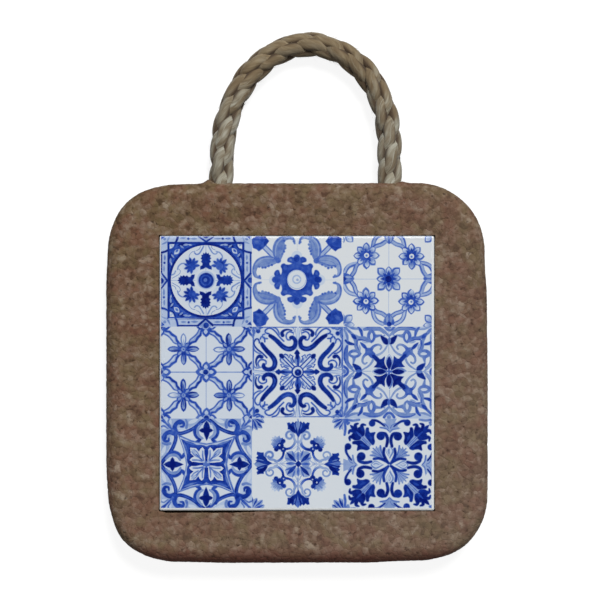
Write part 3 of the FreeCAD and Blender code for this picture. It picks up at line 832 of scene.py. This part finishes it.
# Loose fibres, with how many rings at the start and end of the rope have none
FIBRES = 420
BARE_RINGS = (30, 34)
FIBRE_RADIUS = 0.055
FIBRE_TAPER = 0.7
FIBRE_SIDES = 3
FIBRE_SINK = 0.75
LOWEST_FIBRE = 0.2

Line = namedtuple("Line", "places spots heading side up")


def rope_route():
    """Points along the route's smooth line, in millimetres."""
    line = bpy.data.curves.new("rope_route", "CURVE")
    line.dimensions = "3D"
    spline = line.splines.new("NURBS")
    spline.points.add(len(ROUTE) - 1)
    for point, (across, reach, drop) in zip(spline.points, ROUTE):
        x = ROPE_OFFSET + across * ROPE_SPACING / 2
        y = BASE_SIDE / 2 + reach * LOOP_REACH
        z = ROPE_LIE + drop * (SOCKET_HEIGHT - ROPE_LIE)
        point.co = (x * MM, y * MM, z * MM, 1)
    spline.order_u = 3
    spline.use_endpoint_u = True
    spline.resolution_u = 40
    holder = new_object("rope_route", line)
    mesh = final_mesh(holder)
    points = np.array([v.co for v in mesh.vertices]) / MM
    bpy.data.objects.remove(holder)
    bpy.data.meshes.remove(mesh)
    return points


def along(points, step):
    """Places at even steps along a line, with its heading and two cross directions that don't twist.

    Side, up and heading are right-handed, so a growing angle round the line is a right-hand lay.
    """
    runs = np.linalg.norm(np.diff(points, axis=0), axis=1)
    points = points[np.concatenate([[True], runs > 1e-6])]
    reach = np.concatenate([[0], np.cumsum(np.linalg.norm(np.diff(points, axis=0), axis=1))])
    places = np.linspace(0, reach[-1], int(reach[-1] / step) + 1)
    spots = np.stack([np.interp(places, reach, points[:, k]) for k in range(3)], 1)
    heading = unit(np.gradient(spots, places, axis=0))
    side = np.cross(heading[0], (0, 0, 1))
    sides = []
    for way in heading:
        side = side - way * (side @ way)
        side = side / np.linalg.norm(side)
        sides.append(side)
    sides = np.array(sides)
    return Line(places, spots, heading, sides, np.cross(heading, sides))


def level(ways, keep):
    """The part of each direction that lies square to another, at unit length."""
    return unit(ways - keep * np.sum(ways * keep, axis=1)[:, None])


def waves(values, places, rows, shifts):
    """Values with slow waves added along the rope."""
    for (amount, run), shift in zip(rows, shifts):
        values = values + amount * np.sin(places / run + shift)
    return values


class RopeMesh:
    """Collects tubes of points and faces, and what the rope's material reads at each point."""

    def __init__(self, line):
        self.line = line
        self.rng = random.Random(ROPE_SEED)
        self.verts = []
        self.faces = []
        self.fibre = []
        self.inner_shade = []

    def add_strand(self, strand):
        """One strand, wound round the route, with its yarns."""
        places, spots, _, side, up = self.line
        shifts = [self.rng.uniform(0, LARGEST_SHIFT) for _ in range(4)]
        turn = waves(FULL_TURN * (places / ROPE_LAY + strand / STRANDS), places, LAY_WAVES, shifts[2:])
        out = side * np.cos(turn)[:, None] + up * np.sin(turn)[:, None]
        core = spots + out * STRAND_OFFSET
        across = np.cross(level(np.gradient(core, places, axis=0), out), out)
        plump = waves(1, places, PLUMP_WAVES, shifts)
        for yarn in range(YARNS):
            spin = FULL_TURN * (places / YARN_LAY + yarn / YARNS) + shifts[1]
            middle = core + YARN_RISE * out * np.cos(spin)[:, None]
            middle = middle + YARN_SWAY * across * np.sin(spin)[:, None]
            self.add_yarn(strand, yarn, middle, plump)

    def add_yarn(self, strand, yarn, middle, plump):
        """A tube along a yarn's middle, its ends flat on the floors of the sockets."""
        places, spots, heading, *_ = self.line
        squared = np.clip(1 - np.minimum(places, places[-1] - places) / END_RUN, 0, 1)[:, None]
        slip = np.sum((middle - spots) * heading, axis=1)[:, None]
        middle = middle - heading * slip * squared
        way = unit(np.gradient(middle, places, axis=0))
        way = unit(way * (1 - squared) + heading * squared)
        away = level(middle - spots, way)
        beside = np.cross(way, away)
        tone = self.rng.uniform(0, 1)
        self.faces += tube_faces(len(self.verts), len(places), YARN_SIDES)
        for i, place in enumerate(places):
            for k in range(YARN_SIDES):
                angle = FULL_TURN * k / YARN_SIDES
                section = YARN_DEEP * math.cos(angle) * away[i] + YARN_WIDE * math.sin(angle) * beside[i]
                streak = (angle / FULL_TURN - place / STREAK_RUN) * STREAKS
                streak = streak + STRAND_STEP * strand + YARN_STEP * yarn
                self.verts.append(middle[i] + plump[i] * section)
                self.fibre.append((place, streak, tone))
                # How far round the yarn this point faces in toward the rope's middle; the material paints
                # shade there
                self.inner_shade.append(min(angle, FULL_TURN - angle) / math.pi)

    def add_fibre(self):
        """A loose fibre that leaves the rope and curls back or away."""
        rng = self.rng
        places = self.line.places
        i = rng.randrange(BARE_RINGS[0], len(places) - BARE_RINGS[1])
        _, spot, ahead, side, up = (values[i] for values in self.line)
        angle = rng.uniform(0, FULL_TURN)
        out = side * math.cos(angle) + up * math.sin(angle)
        start = spot + out * (ROPE_DIAMETER / 2 - FIBRE_SINK)
        lean = side * rng.uniform(-1, 1) + up * rng.uniform(-1, 1)
        # Three steps, each along the rope, outward or back, and to one side
        path = [start, start + ahead * rng.uniform(0.8, 1.6) + out * 0.5 + lean * 0.3]
        path.append(path[1] + ahead * rng.uniform(0.6, 1.8) + out * rng.uniform(-0.2, 0.7) + lean * 0.9)
        path.append(path[2] + ahead * rng.uniform(0.2, 1.2) + out * rng.uniform(-0.7, 0.5) + lean * 0.9)
        self.faces += tube_faces(len(self.verts), len(path), FIBRE_SIDES)
        beside = np.cross(ahead, out)
        for k, middle in enumerate(path):
            middle = np.maximum(middle, (-np.inf, -np.inf, LOWEST_FIBRE))
            radius = FIBRE_RADIUS * (1 - FIBRE_TAPER * k / (len(path) - 1))
            for corner in range(FIBRE_SIDES):
                spin = FULL_TURN * corner / FIBRE_SIDES
                self.verts.append(middle + radius * (math.cos(spin) * out + math.sin(spin) * beside))
                self.fibre.append((places[i], rng.uniform(0, 60), 1.0))
                self.inner_shade.append(0.0)


def make_rope(points):
    """The rope along its route, and its length."""
    line = along(points, RING_STEP)
    length = line.places[-1]
    parts = RopeMesh(line)
    for strand in range(STRANDS):
        parts.add_strand(strand)
    for _ in range(FIBRES):
        parts.add_fibre()
    rope = mesh_object("rope_loop", parts.verts, parts.faces, rope_material(length))
    set_attribute(rope.data, "fibre", "FLOAT_VECTOR", "POINT", parts.fibre)
    set_attribute(rope.data, "inner_shade", "FLOAT", "POINT", parts.inner_shade)
    return rope, length


def rope_material(length):
    """Pale natural fibre: streaks along the yarns, painted shade between them, pale patches of painted
    highlight, browner toward the crown.
    """
    made, tree, shader = material("rope")
    place, yarn, tone = parts_of(tree, attribute(tree, "fibre", "Vector"))
    inner_shade = attribute(tree, "inner_shade", "Fac")

    def stretched(by_place, by_yarn, shift):
        x = maths(tree, "MULTIPLY", place, by_place)
        y = maths(tree, "MULTIPLY", yarn, by_yarn)
        return add(tree, "ShaderNodeCombineXYZ", {"X": x, "Y": y, "Z": shift}).outputs[0]
    streak = noise(tree, stretched(0.09, 3.2, 0.3), 1.0, 4.0, 0.65)
    patch = noise(tree, stretched(0.06, 0.3, 7.0), 1.9, 2.0)
    pale = ramp(tree, streak, (0.28, 108, 100, 85), (0.5, 144, 139, 123), (0.72, 178, 177, 166))
    brown = ramp(tree, streak, (0.28, 92, 75, 52), (0.5, 122, 106, 79), (0.72, 146, 132, 106))
    crown = maths(tree, "ABSOLUTE", maths(tree, "SUBTRACT", maths(tree, "DIVIDE", place, length), 0.5))
    crown = spread(tree, maths(tree, "ADD", crown, swing(tree, patch, 0.3)), 0.16, 0.34)
    colour = blend(tree, crown, brown, pale)
    # Painted highlight: scattered pale grey patches, fewer toward the crown, stand in for highlights on the
    # strands
    highlight_patch = spread(tree, patch, 0.5, 0.66, 0.0, 0.5)
    painted_highlight = maths(tree, "MULTIPLY", highlight_patch, spread(tree, crown, 0.0, 1.0, 0.25, 1.0))
    colour = blend(tree, painted_highlight, colour, srgb(176, 176, 164))
    colour = stain(tree, colour, (102, 84, 60), patch, 0.34, 0.5, 0.65, 0.0)
    colour = stain(tree, colour, (104, 90, 68), tone, 0.0, 1.0, 0.0, 0.2)
    # Painted shade: darker where a yarn faces in toward the rope's middle, between yarns and strands
    colour = stain(tree, colour, (88, 70, 46), inner_shade, 0.18, 0.34, 0.0, 0.5)
    colour = stain(tree, colour, (56, 38, 20), inner_shade, 0.28, 0.42, 0.0, 0.85)
    dress(tree, shader, colour, (streak, 0.5, 0.0005),
          {"Roughness": 0.85, "Sheen Weight": 0.12, "Sheen Roughness": 0.5})
    return made


# Tile: the print on it, in millimetres from its middle, as its corners and then where its cells lie
PRINT_LOW = (-74.1, -73.4)
PRINT_HIGH = (73.5, 74.7)
CELL_MIDDLE = np.array((0.4, 0.4))
CELL_PITCH = np.array((49.8, 50.1))
# How far each motif lies from its cell's middle, row by row from the top: the transfer isn't quite even
CELL_SHIFTS = [[(-0.25, 0.25), (-0.3, 0.55), (-0.1, 1.1)], [(0.0, 0.3), (0.0, 0.4), (0.1, 0.6)],
               [(0.0, 0.2), (0.3, 0.3), (0.3, -0.2)]]
# Cobalt bleeds a little into the glaze round strong brushwork
BLEED_FROM = 0.45
BLEED_REACH = 0.3
BLEED_SHARE = 0.5
# Loops that carry the cushioned edge, as shares of its width in from the rim
CUSHION_SHARES = (0.04, 0.15, 0.35, 0.65, 1.0)
SMALLEST_CORNER = 0.05
RIM_CORNER_POINTS = 9
CUSHION_CORNER_POINTS = 7
# Outlines nearer than the first are merged, and points nearer the rim than the second lie on it
MERGE_DISTANCE = 2e-3
RIM_DISTANCE = 1e-3


def rounded_square(half, corner, count):
    """The outline of a square with round corners, counterclockwise."""
    out = []
    for quarter in range(4):
        middle = 1j ** quarter * complex(half - corner, half - corner)
        for k in range(count):
            q = middle + cmath.rect(corner, QUARTER_TURN * (quarter + k / (count - 1)))
            out.append((q.real, q.imag))
    return out


def inset(points):
    """How far inside the tile's outline each point lies."""
    reach = np.abs(points) - (TILE_SIDE / 2 - TILE_CORNER)
    outside = np.linalg.norm(np.maximum(reach, 0), axis=1)
    return TILE_CORNER - outside - np.minimum(reach.max(axis=1), 0)


def within(points, low, high):
    return (points >= low).all(axis=1) & (points <= high).all(axis=1)


def inside(points, outline):
    """Which points lie within an outline, by its winding number."""
    winding = np.zeros(len(points), dtype=int)
    x, y = points[:, 0], points[:, 1]
    for (ax, ay), (bx, by) in zip(outline, np.roll(outline, -1, axis=0)):
        side = (bx - ax) * (y - ay) - (by - ay) * (x - ax)
        winding += (ay <= y) & (by > y) & (side > 0)
        winding -= (ay > y) & (by <= y) & (side < 0)
    return winding != 0


def grown(outline, by):
    """An outline moved outward, for the colour that bleeds round a brush stroke."""
    ahead = unit(np.roll(outline, -1, axis=0) - outline)
    way = unit(ahead + np.roll(ahead, 1, axis=0))
    x, y = outline.T
    turn = np.sign((x * np.roll(y, -1) - y * np.roll(x, -1)).sum())
    return outline + turn * by * np.stack((way[:, 1], -way[:, 0]), 1)


def cell_shapes(painter, centre, low, high):
    """A cell's shapes on the tile, cut off at its bounds; a bleed comes just before what it surrounds."""
    def place(points):
        flat = np.array([(complex(q).real, complex(q).imag) for q in points])
        return centre + flat * (CELL_PITCH / 2)
    shapes = []
    for outline, first, last, start, end in painter.shapes:
        outline = place(outline)
        start, end = place([start, end])
        if min(first, last) > BLEED_FROM:
            halo = np.clip(grown(outline, BLEED_REACH), low, high)
            shapes.append((halo, first * BLEED_SHARE, last * BLEED_SHARE, start, end, True))
        shapes.append((np.clip(outline, low, high), first, last, start, end, False))
    return shapes


def painted_cells():
    """The print's cells, each as its bounds and its shapes in the order they are painted."""
    cells = []
    for row, motifs in enumerate(CELLS):
        for column, motif in enumerate(motifs):
            painter = Painter(10 * row + column)
            motif(painter)
            middle = CELL_MIDDLE + CELL_PITCH * (column - 1, 1 - row)
            low = np.maximum(middle - CELL_PITCH / 2, PRINT_LOW)
            high = np.minimum(middle + CELL_PITCH / 2, PRINT_HIGH)
            cells.append((low, high, cell_shapes(painter, middle + CELL_SHIFTS[row][column], low, high)))
    return cells


def divide_face(cells):
    """The tile's face as points and triangles, divided along its rim, cushion and painted outlines."""
    loops = [rounded_square(TILE_SIDE / 2, TILE_CORNER, RIM_CORNER_POINTS)]
    for share in CUSHION_SHARES:
        step = share * TILE_CUSHION
        corner = max(TILE_CORNER - step, SMALLEST_CORNER)
        loops.append(rounded_square(TILE_SIDE / 2 - step, corner, CUSHION_CORNER_POINTS))
    loops += [outline for _, _, shapes in cells for outline, *_ in shapes]
    points = []
    edges = []
    for outline in loops:
        first = len(points)
        count = len(outline)
        points += [Vector(q) for q in outline]
        edges += [(first + k, first + (k + 1) % count) for k in range(count)]
    flat, _, triangles, *_ = delaunay_2d_cdt(points, edges, [], 0, MERGE_DISTANCE, False)
    return np.array([(v.x, v.y) for v in flat]), np.array(triangles)


def ink_on(corners, cells):
    """The ink at each corner of each triangle, later shapes over earlier ones."""
    middles = corners.mean(axis=1)
    ink = np.zeros(corners.shape[:2])
    for low, high, shapes in cells:
        here = np.flatnonzero(within(middles, low, high))
        for outline, first, last, start, end, bleeds in shapes:
            near = here[within(middles[here], outline.min(axis=0), outline.max(axis=0))]
            chosen = near[inside(middles[near], outline)]
            run = end - start
            share = ((corners[chosen] - start) @ run) / (run @ run)
            painted = first + (last - first) * np.clip(share, 0, 1)
            ink[chosen] = np.maximum(ink[chosen], painted) if bleeds else painted
    return ink


def make_tile():
    """One closed mesh: the divided face carries the ink, and walls and a back close it below."""
    cells = painted_cells()
    flat, triangles = divide_face(cells)
    ink = ink_on(flat[triangles], cells)
    depth = np.clip(inset(flat), 0, TILE_CUSHION)
    drop = TILE_CUSHION - np.sqrt(np.maximum(TILE_CUSHION ** 2 - (TILE_CUSHION - depth) ** 2, 0))
    verts = [(x, y, TILE_TOP - z) for (x, y), z in zip(flat, drop)]
    border = np.flatnonzero(depth < RIM_DISTANCE)
    border = border[np.argsort(np.angle(flat[border, 0] + 1j * flat[border, 1]))]
    below = len(verts)
    verts += [(*flat[k], TILE_BOTTOM) for k in border]
    faces = [tuple(t) for t in triangles]
    for k in range(len(border)):
        ahead = (k + 1) % len(border)
        faces.append((border[k], below + k, below + ahead, border[ahead]))
    faces.append([below + k for k in reversed(range(len(border)))])
    tile = mesh_object("painted_tile", verts, faces, glaze_material())
    tile.data.polygons[len(faces) - 1].use_smooth = False
    values = np.zeros(len(tile.data.loops))
    values[:ink.size] = ink.ravel()
    set_attribute(tile.data, "ink", "FLOAT", "CORNER", values)
    return tile


def glaze_material():
    """White glaze with cobalt brushwork: the ink's strength gives the blue, and washes break it up."""
    made, tree, shader = material("glazed_tile")
    ink = attribute(tree, "ink", "Fac")
    place = add(tree, "ShaderNodeTexCoord").outputs["Object"]
    wash = swing(tree, noise(tree, place, 420.0, 3.0, 0.6), 0.55)
    pool = swing(tree, noise(tree, place, 130.0), 0.35)
    change = maths(tree, "MULTIPLY", maths(tree, "ADD", wash, pool), spread(tree, ink, 0.08, 0.6, 0.03, 0.75))
    colour = ramp(tree, maths(tree, "ADD", ink, change),
                  (0.0, 213, 217, 220), (0.06, 199, 208, 219), (0.15, 177, 193, 218),
                  (0.3, 141, 162, 203), (0.45, 106, 132, 188), (0.6, 66, 98, 180),
                  (0.72, 36, 72, 168), (0.85, 12, 46, 142), (1.0, 0, 19, 108))
    ripple = noise(tree, place, 260.0)
    dress(tree, shader, colour, (ripple, 0.06, 0.0006), {"Roughness": 0.22, "Specular IOR Level": 0.32})
    return made


# Cork: rings of points from the recess out over the top, round the edge and in below
AROUND = 840
# The recess: its corner, its lip with the corners that widen there, and the heights of rings up its wall
SHARP = 0.01
LIP = 0.35
LIP_SHARE = 0.3
LIP_CORNERS = (0.3, 0.5)
RECESS_LEVELS = (21.0, 23.5, BASE_TOP - LIP)
# Steps across the top, round its edge, down the wall and round the foot
TOP_STEPS = 27
ROUND_STEPS = 15
WALL_STEPS = 16
FOOT_STEPS = 5
# Rings of the underside, in from the edge, and the smallest corner of such a ring
UNDER_STEPS = (6, 11, 18, 27, 38, 52, 70)
UNDER_CORNER = 6.0
# The recess is cut wide along the left half of its lower edge: places in X, and by how much
SLACK_AT = (-75.0, -71.0, -34.0, -16.0)
SLACK_BY = (0.0, 0.9, 0.8, 0.0)
# How far the hand-sanded edge lies inside a true rounded square: degrees from +X, millimetres
TRIM = [(0, 0.1), (20, 0.5), (33, 2.1), (45, 1.3), (60, 0.7), (112, 0.8), (125, 1.7), (135, 0.4), (145, 1.2),
        (156, 0.2), (205, 0.2), (216, 1.6), (224, 0.1), (235, 1.4), (250, 0.6), (288, 0.7), (304, 2.1),
        (316, 0.2), (345, 0.1), (360, 0.1)]
# Small cork collars against the rope's outer sides: place along the edge, how far they stand out
COLLARS = [(-48.6, 2.4), (58.0, 1.0)]
COLLAR_WIDE = 2.5
COLLAR_HIGH = 8
COLLAR_FROM = 95
# Granules to a metre, and how deep their seams, their levels and the pits lie, in metres
GRANULES = 265.0
SEAM_DEPTH = 0.16 * MM
LEVEL_DEPTH = 0.16 * MM
PIT_DEPTH = 0.7 * MM
# The sockets' cutters: their sides, and how far they reach past the edge
CUTTER_SIDES = 48
CUTTER_PAST = 5


def ring(half, corner, height):
    """Points round a rounded square, one on each ray from its middle."""
    out = []
    for k in range(AROUND):
        angle = FULL_TURN * k / AROUND
        way = (abs(math.cos(angle)), abs(math.sin(angle)))
        reach = half / max(way)
        if min(way) * reach > half - corner:
            along_ray = (half - corner) * (way[0] + way[1])
            reach = along_ray + math.sqrt(along_ray ** 2 - 2 * (half - corner) ** 2 + corner ** 2)
        out.append((reach * math.cos(angle), reach * math.sin(angle), height))
    return np.array(out)


def recess_ring(step, corner, height):
    """A ring outside the recess by a step, moved out where the recess is cut wide."""
    points = ring(RECESS_SEEN / 2 + step, corner, height)
    # The lower edge lies below both diagonals
    low = points[:, 1] < -0.99 * np.abs(points[:, 0]).clip(1)
    return points - np.outer(low * np.interp(points[:, 0], SLACK_AT, SLACK_BY), (0, 1, 0))


def edge_ring(step, height):
    """A ring inside the edge by a step, brought in to the sanded outline and out to the collars."""
    points = ring(BASE_SIDE / 2 - step, BASE_CORNER - step, height)
    places, amounts = np.array(TRIM, dtype=float).T
    angle = np.degrees(np.arctan2(points[:, 1], points[:, 0])) % 360
    ahead = np.searchsorted(places, angle, side="right").clip(1, len(places) - 1)
    share = (angle - places[ahead - 1]) / (places[ahead] - places[ahead - 1])
    ease = (1 - np.cos(np.pi * share)) / 2
    trim = amounts[ahead - 1] + (amounts[ahead] - amounts[ahead - 1]) * ease
    shrink = 1 - trim / np.linalg.norm(points[:, :2], axis=1)
    moved = points * np.stack((shrink, shrink, np.ones_like(shrink)), 1)
    for x, rise in COLLARS:
        across = (moved[:, 0] - x) / COLLAR_WIDE
        upward = (moved[:, 2] - SOCKET_HEIGHT) / COLLAR_HIGH
        near = np.exp(-across ** 2 - upward ** 2)
        moved[:, 1] += rise * near * (moved[:, 1] > COLLAR_FROM)
    return moved


def cork_rings():
    """Every ring, from the middle of the recess's floor to the middle of the underside."""
    rings = [ring(RECESS_SEEN / 4, SHARP, TILE_BOTTOM), recess_ring(0, SHARP, TILE_BOTTOM)]
    rings += [recess_ring(0, SHARP, height) for height in RECESS_LEVELS]
    rings.append(recess_ring(LIP * LIP_SHARE, LIP_CORNERS[0], BASE_TOP - LIP * LIP_SHARE))
    first = recess_ring(LIP, LIP_CORNERS[1], BASE_TOP)
    last = edge_ring(TOP_ROUND, BASE_TOP)
    rings += [first + (last - first) * k / TOP_STEPS for k in range(TOP_STEPS + 1)]
    for k in range(1, ROUND_STEPS + 1):
        turn = QUARTER_TURN * k / ROUND_STEPS
        rings.append(edge_ring(TOP_ROUND * (1 - math.sin(turn)), BASE_TOP - TOP_ROUND * (1 - math.cos(turn))))
    for k in range(1, WALL_STEPS):
        height = BASE_TOP - TOP_ROUND + (BOTTOM_ROUND - BASE_TOP + TOP_ROUND) * k / WALL_STEPS
        rings.append(edge_ring(0, height))
    for k in range(FOOT_STEPS + 1):
        turn = QUARTER_TURN * k / FOOT_STEPS
        rings.append(edge_ring(BOTTOM_ROUND * (1 - math.cos(turn)), BOTTOM_ROUND * (1 - math.sin(turn))))
    for step in UNDER_STEPS:
        rings.append(ring(BASE_SIDE / 2 - step, max(BASE_CORNER - step, UNDER_CORNER), 0.0))
    return rings


def grain(tree, at):
    """Cork granules: a colour for each, how near the seam between two is, and small dark pits."""
    def vectors(operation, values):
        return add(tree, "ShaderNodeVectorMath", values, operation=operation).outputs[0]
    warp = add(tree, "ShaderNodeTexNoise", {"Vector": at, "Scale": 300.0, "Detail": 2.0}).outputs["Color"]
    push = vectors("SCALE", {0: vectors("SUBTRACT", {0: warp, 1: (0.5, 0.5, 0.5)}), "Scale": 0.0034})
    cells = {"Vector": vectors("ADD", {0: at, 1: push}), "Scale": GRANULES, "Randomness": 1.0}
    granule = add(tree, "ShaderNodeTexVoronoi", {**cells, "Smoothness": 0.35}, feature="SMOOTH_F1")
    seam = add(tree, "ShaderNodeTexVoronoi", cells, feature="DISTANCE_TO_EDGE")
    return granule.outputs["Color"], seam.outputs["Distance"], noise(tree, at, 360.0, 2.0, 0.55)


def granulate(base):
    """Press the seams between granules and the pits into the surface, and keep where each point was."""
    tree = bpy.data.node_groups.new("cork_relief", "GeometryNodeTree")
    for way in ("INPUT", "OUTPUT"):
        tree.interface.new_socket("Geometry", in_out=way, socket_type="NodeSocketGeometry")
    source = add(tree, "NodeGroupInput").outputs[0]
    at = add(tree, "GeometryNodeInputPosition").outputs[0]
    kept = add(tree, "GeometryNodeStoreNamedAttribute", {"Geometry": source, "Name": "rest", "Value": at},
               data_type="FLOAT_VECTOR", domain="POINT")
    granule, seam, pit = grain(tree, at)
    depth = maths(tree, "ADD", spread(tree, seam, 0.0, 0.16, SEAM_DEPTH, 0.0),
                  spread(tree, pit, 0.62, 0.8, 0.0, PIT_DEPTH))
    depth = maths(tree, "ADD", depth, maths(tree, "MULTIPLY", parts_of(tree, granule)["Z"], LEVEL_DEPTH))
    normal = add(tree, "GeometryNodeInputNormal").outputs[0]
    inward = add(tree, "ShaderNodeVectorMath", {0: normal, "Scale": maths(tree, "MULTIPLY", depth, -1.0)},
                 operation="SCALE")
    moved = add(tree, "GeometryNodeSetPosition", {"Geometry": kept.outputs[0], "Offset": inward.outputs[0]})
    tree.links.new(moved.outputs[0], add(tree, "NodeGroupOutput").inputs[0])
    base.modifiers.new("relief", "NODES").node_group = tree


def bore_sockets(base):
    """Cut the two blind holes that take the rope's ends."""
    radius = SOCKET_DIAMETER / 2
    cutters = []
    for way in (-1, 1):
        x = ROPE_OFFSET + way * ROPE_SPACING / 2
        verts = []
        for y in (BASE_SIDE / 2 - SOCKET_DEPTH, BASE_SIDE / 2 + CUTTER_PAST):
            for k in range(CUTTER_SIDES):
                angle = FULL_TURN * k / CUTTER_SIDES
                verts.append((x + radius * math.cos(angle), y, SOCKET_HEIGHT + radius * math.sin(angle)))
        cutter = mesh_object("cutter", verts, tube_faces(0, 2, CUTTER_SIDES))
        cutters.append(cutter)
        hole = base.modifiers.new("socket", "BOOLEAN")
        hole.operation = "DIFFERENCE"
        hole.solver = "EXACT"
        hole.object = cutter
    return cutters


def make_cork():
    """The slab as one closed mesh, with its sockets bored and its granules pressed in."""
    rings = cork_rings()
    verts = [(0.0, 0.0, TILE_BOTTOM)]
    for points in rings:
        verts += [tuple(q) for q in points]
    verts.append((0.0, 0.0, 0.0))
    faces = []
    last = len(verts) - 1
    final = 1 + (len(rings) - 1) * AROUND
    for k in range(AROUND):
        ahead = (k + 1) % AROUND
        faces.append((0, 1 + k, 1 + ahead))
        for low in range(1, final, AROUND):
            faces.append((low + k, low + AROUND + k, low + AROUND + ahead, low + ahead))
        faces.append((final + k, last, final + ahead))
    raw = mesh_object("cork_raw", verts, faces, cork_material())
    cutters = bore_sockets(raw)
    granulate(raw)
    cork = new_object("cork_slab", final_mesh(raw))
    for spare in [raw] + cutters:
        bpy.data.objects.remove(spare)
    return cork


def cork_material():
    """Pressed cork granules: mixed browns, dark seams and specks, a slow drift of tint, and painted shade
    along the lower edge.
    """
    made, tree, shader = material("cork")
    at = attribute(tree, "rest", "Vector")
    granule, seam, pit = grain(tree, at)
    shade, hue, _ = parts_of(tree, granule)
    mottle = spread(tree, noise(tree, at, 330.0, 2.0, 0.55), 0.34, 0.66)
    tone = maths(tree, "ADD", maths(tree, "MULTIPLY", shade, 0.5), maths(tree, "MULTIPLY", mottle, 0.5))
    tan = ramp(tree, tone, (0.1, 62, 42, 26), (0.3, 90, 69, 49), (0.5, 109, 87, 69), (0.7, 125, 106, 90),
               (0.9, 146, 131, 114))
    warm = stain(tree, tan, (113, 75, 57), hue, 0.0, 0.9, 0.15, 0.6)
    olive = stain(tree, tan, (111, 95, 64), hue, 0.0, 0.9, 0.15, 0.6)
    colour = blend(tree, spread(tree, noise(tree, at, 95.0), 0.4, 0.6), warm, olive)
    x, y, _ = parts_of(tree, at)
    fine = noise(tree, at, 1500.0, 3.0, 0.6)
    # Lighter and greyer toward the lower right, painted shade as a dark reddish band along the lower edge,
    # then specks, seams and pits
    colour = stain(tree, colour, (134, 122, 121), maths(tree, "SUBTRACT", x, y), -0.2, 0.2, 0.0, 0.17)
    # Painted shade: a dark reddish band along the rounded lower edge, away from the light
    colour = stain(tree, colour, (90, 50, 40), y, -0.102, -0.094, 0.85, 0.0)
    colour = stain(tree, colour, (66, 48, 36), fine, 0.3, 0.6, 0.14, 0.0)
    colour = stain(tree, colour, (70, 50, 37), seam, 0.0, 0.14, 0.1, 0.0)
    colour = stain(tree, colour, (52, 35, 24), pit, 0.6, 0.74, 0.0, 0.8)
    height = maths(tree, "ADD", spread(tree, seam, 0.0, 0.12), maths(tree, "MULTIPLY", fine, 0.7))
    dress(tree, shader, colour, (height, 0.45, 0.0004), {"Roughness": 0.9, "Specular IOR Level": 0.25})
    return made


# Floor, in millimetres
FLOOR_HALF = 3000.0
FLOOR_HEIGHT = -0.05
# Camera: its place and farthest view in metres, its lens and sensor in millimetres
CAMERA_PLACE = (0.0017, 0.040, 1.25)
CAMERA_LENS = 134.7
SENSOR_WIDTH = 36.0
FARTHEST_SEEN = 20.0
# Strength of the soft light all round
FILL_LIGHT = 0.15


def make_floor():
    """A white floor that keeps the shadow; it throws back less light than it shows."""
    corners = [(q.real, q.imag, FLOOR_HEIGHT) for q in square(FLOOR_HALF)]
    floor = mesh_object("floor", corners, [(0, 1, 2, 3)])
    made, tree, shader = material("floor")
    tree.nodes.remove(shader)
    plain = add(tree, "ShaderNodeBsdfDiffuse", {"Color": (0.12, 0.12, 0.12, 1)}).outputs[0]
    lit = add(tree, "ShaderNodeBsdfDiffuse", {"Color": (0.2, 0.2, 0.2, 1)}).outputs[0]
    glow = add(tree, "ShaderNodeEmission", {"Color": (1, 1, 1, 1), "Strength": 0.9}).outputs[0]
    white = add(tree, "ShaderNodeAddShader", {0: lit, 1: glow}).outputs[0]
    mixed = add(tree, "ShaderNodeMixShader", {0: seen_directly(tree), 1: plain, 2: white}).outputs[0]
    tree.links.new(mixed, tree.nodes["Material Output"].inputs["Surface"])
    floor.data.materials.append(made)


def make_world():
    """Soft fill all round; the camera sees white at the horizon, and the glaze a dim ceiling."""
    world = bpy.data.worlds.new("studio")
    world.use_nodes = True
    bpy.context.scene.world = world
    tree = world.node_tree
    shade = tree.nodes["Background"]
    way = add(tree, "ShaderNodeTexCoord").outputs["Generated"]
    ceiling = spread(tree, parts_of(tree, way)["Z"], 0.35, 0.9, 1.0, 0.03)
    light = add(tree, "ShaderNodeMix", {0: seen_directly(tree), 2: FILL_LIGHT, 3: ceiling}, data_type="FLOAT")
    tree.links.new(light.outputs[0], shade.inputs["Strength"])
    shade.inputs["Color"].default_value = (1, 1, 1, 1)


def add_sun(name, way, strength, angle, colour):
    """A distant lamp that shines from a direction; its angle is in degrees."""
    lamp = bpy.data.lights.new(name, "SUN")
    lamp.energy = strength
    lamp.angle = math.radians(angle)
    lamp.color = colour
    new_object(name, lamp).rotation_euler = Vector(way).to_track_quat("Z", "Y").to_euler()


def add_camera():
    """Straight down over the middle of the photograph's view."""
    camera_data = bpy.data.cameras.new("camera")
    camera_data.lens = CAMERA_LENS
    camera_data.sensor_width = SENSOR_WIDTH
    camera_data.clip_end = FARTHEST_SEEN
    camera = new_object("camera", camera_data)
    camera.location = CAMERA_PLACE
    bpy.context.scene.camera = camera


def main():
    bpy.context.scene.view_settings.view_transform = "Standard"
    add_camera()
    route = rope_route()
    rope, length = make_rope(route)
    tile = make_tile()
    cork = make_cork()
    for piece, node, slot in ((rope, "rope_handle", "rope"), (tile, "azulejo_tile", "glazed_tile"),
                              (cork, "cork_base", "cork")):
        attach(piece, "root")
        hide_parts(node)
    make_floor()
    make_world()
    add_sun("key", way=(0.2, 0.55, 0.81), strength=3.4, angle=22.0, colour=(1.0, 0.99, 0.97))


main()
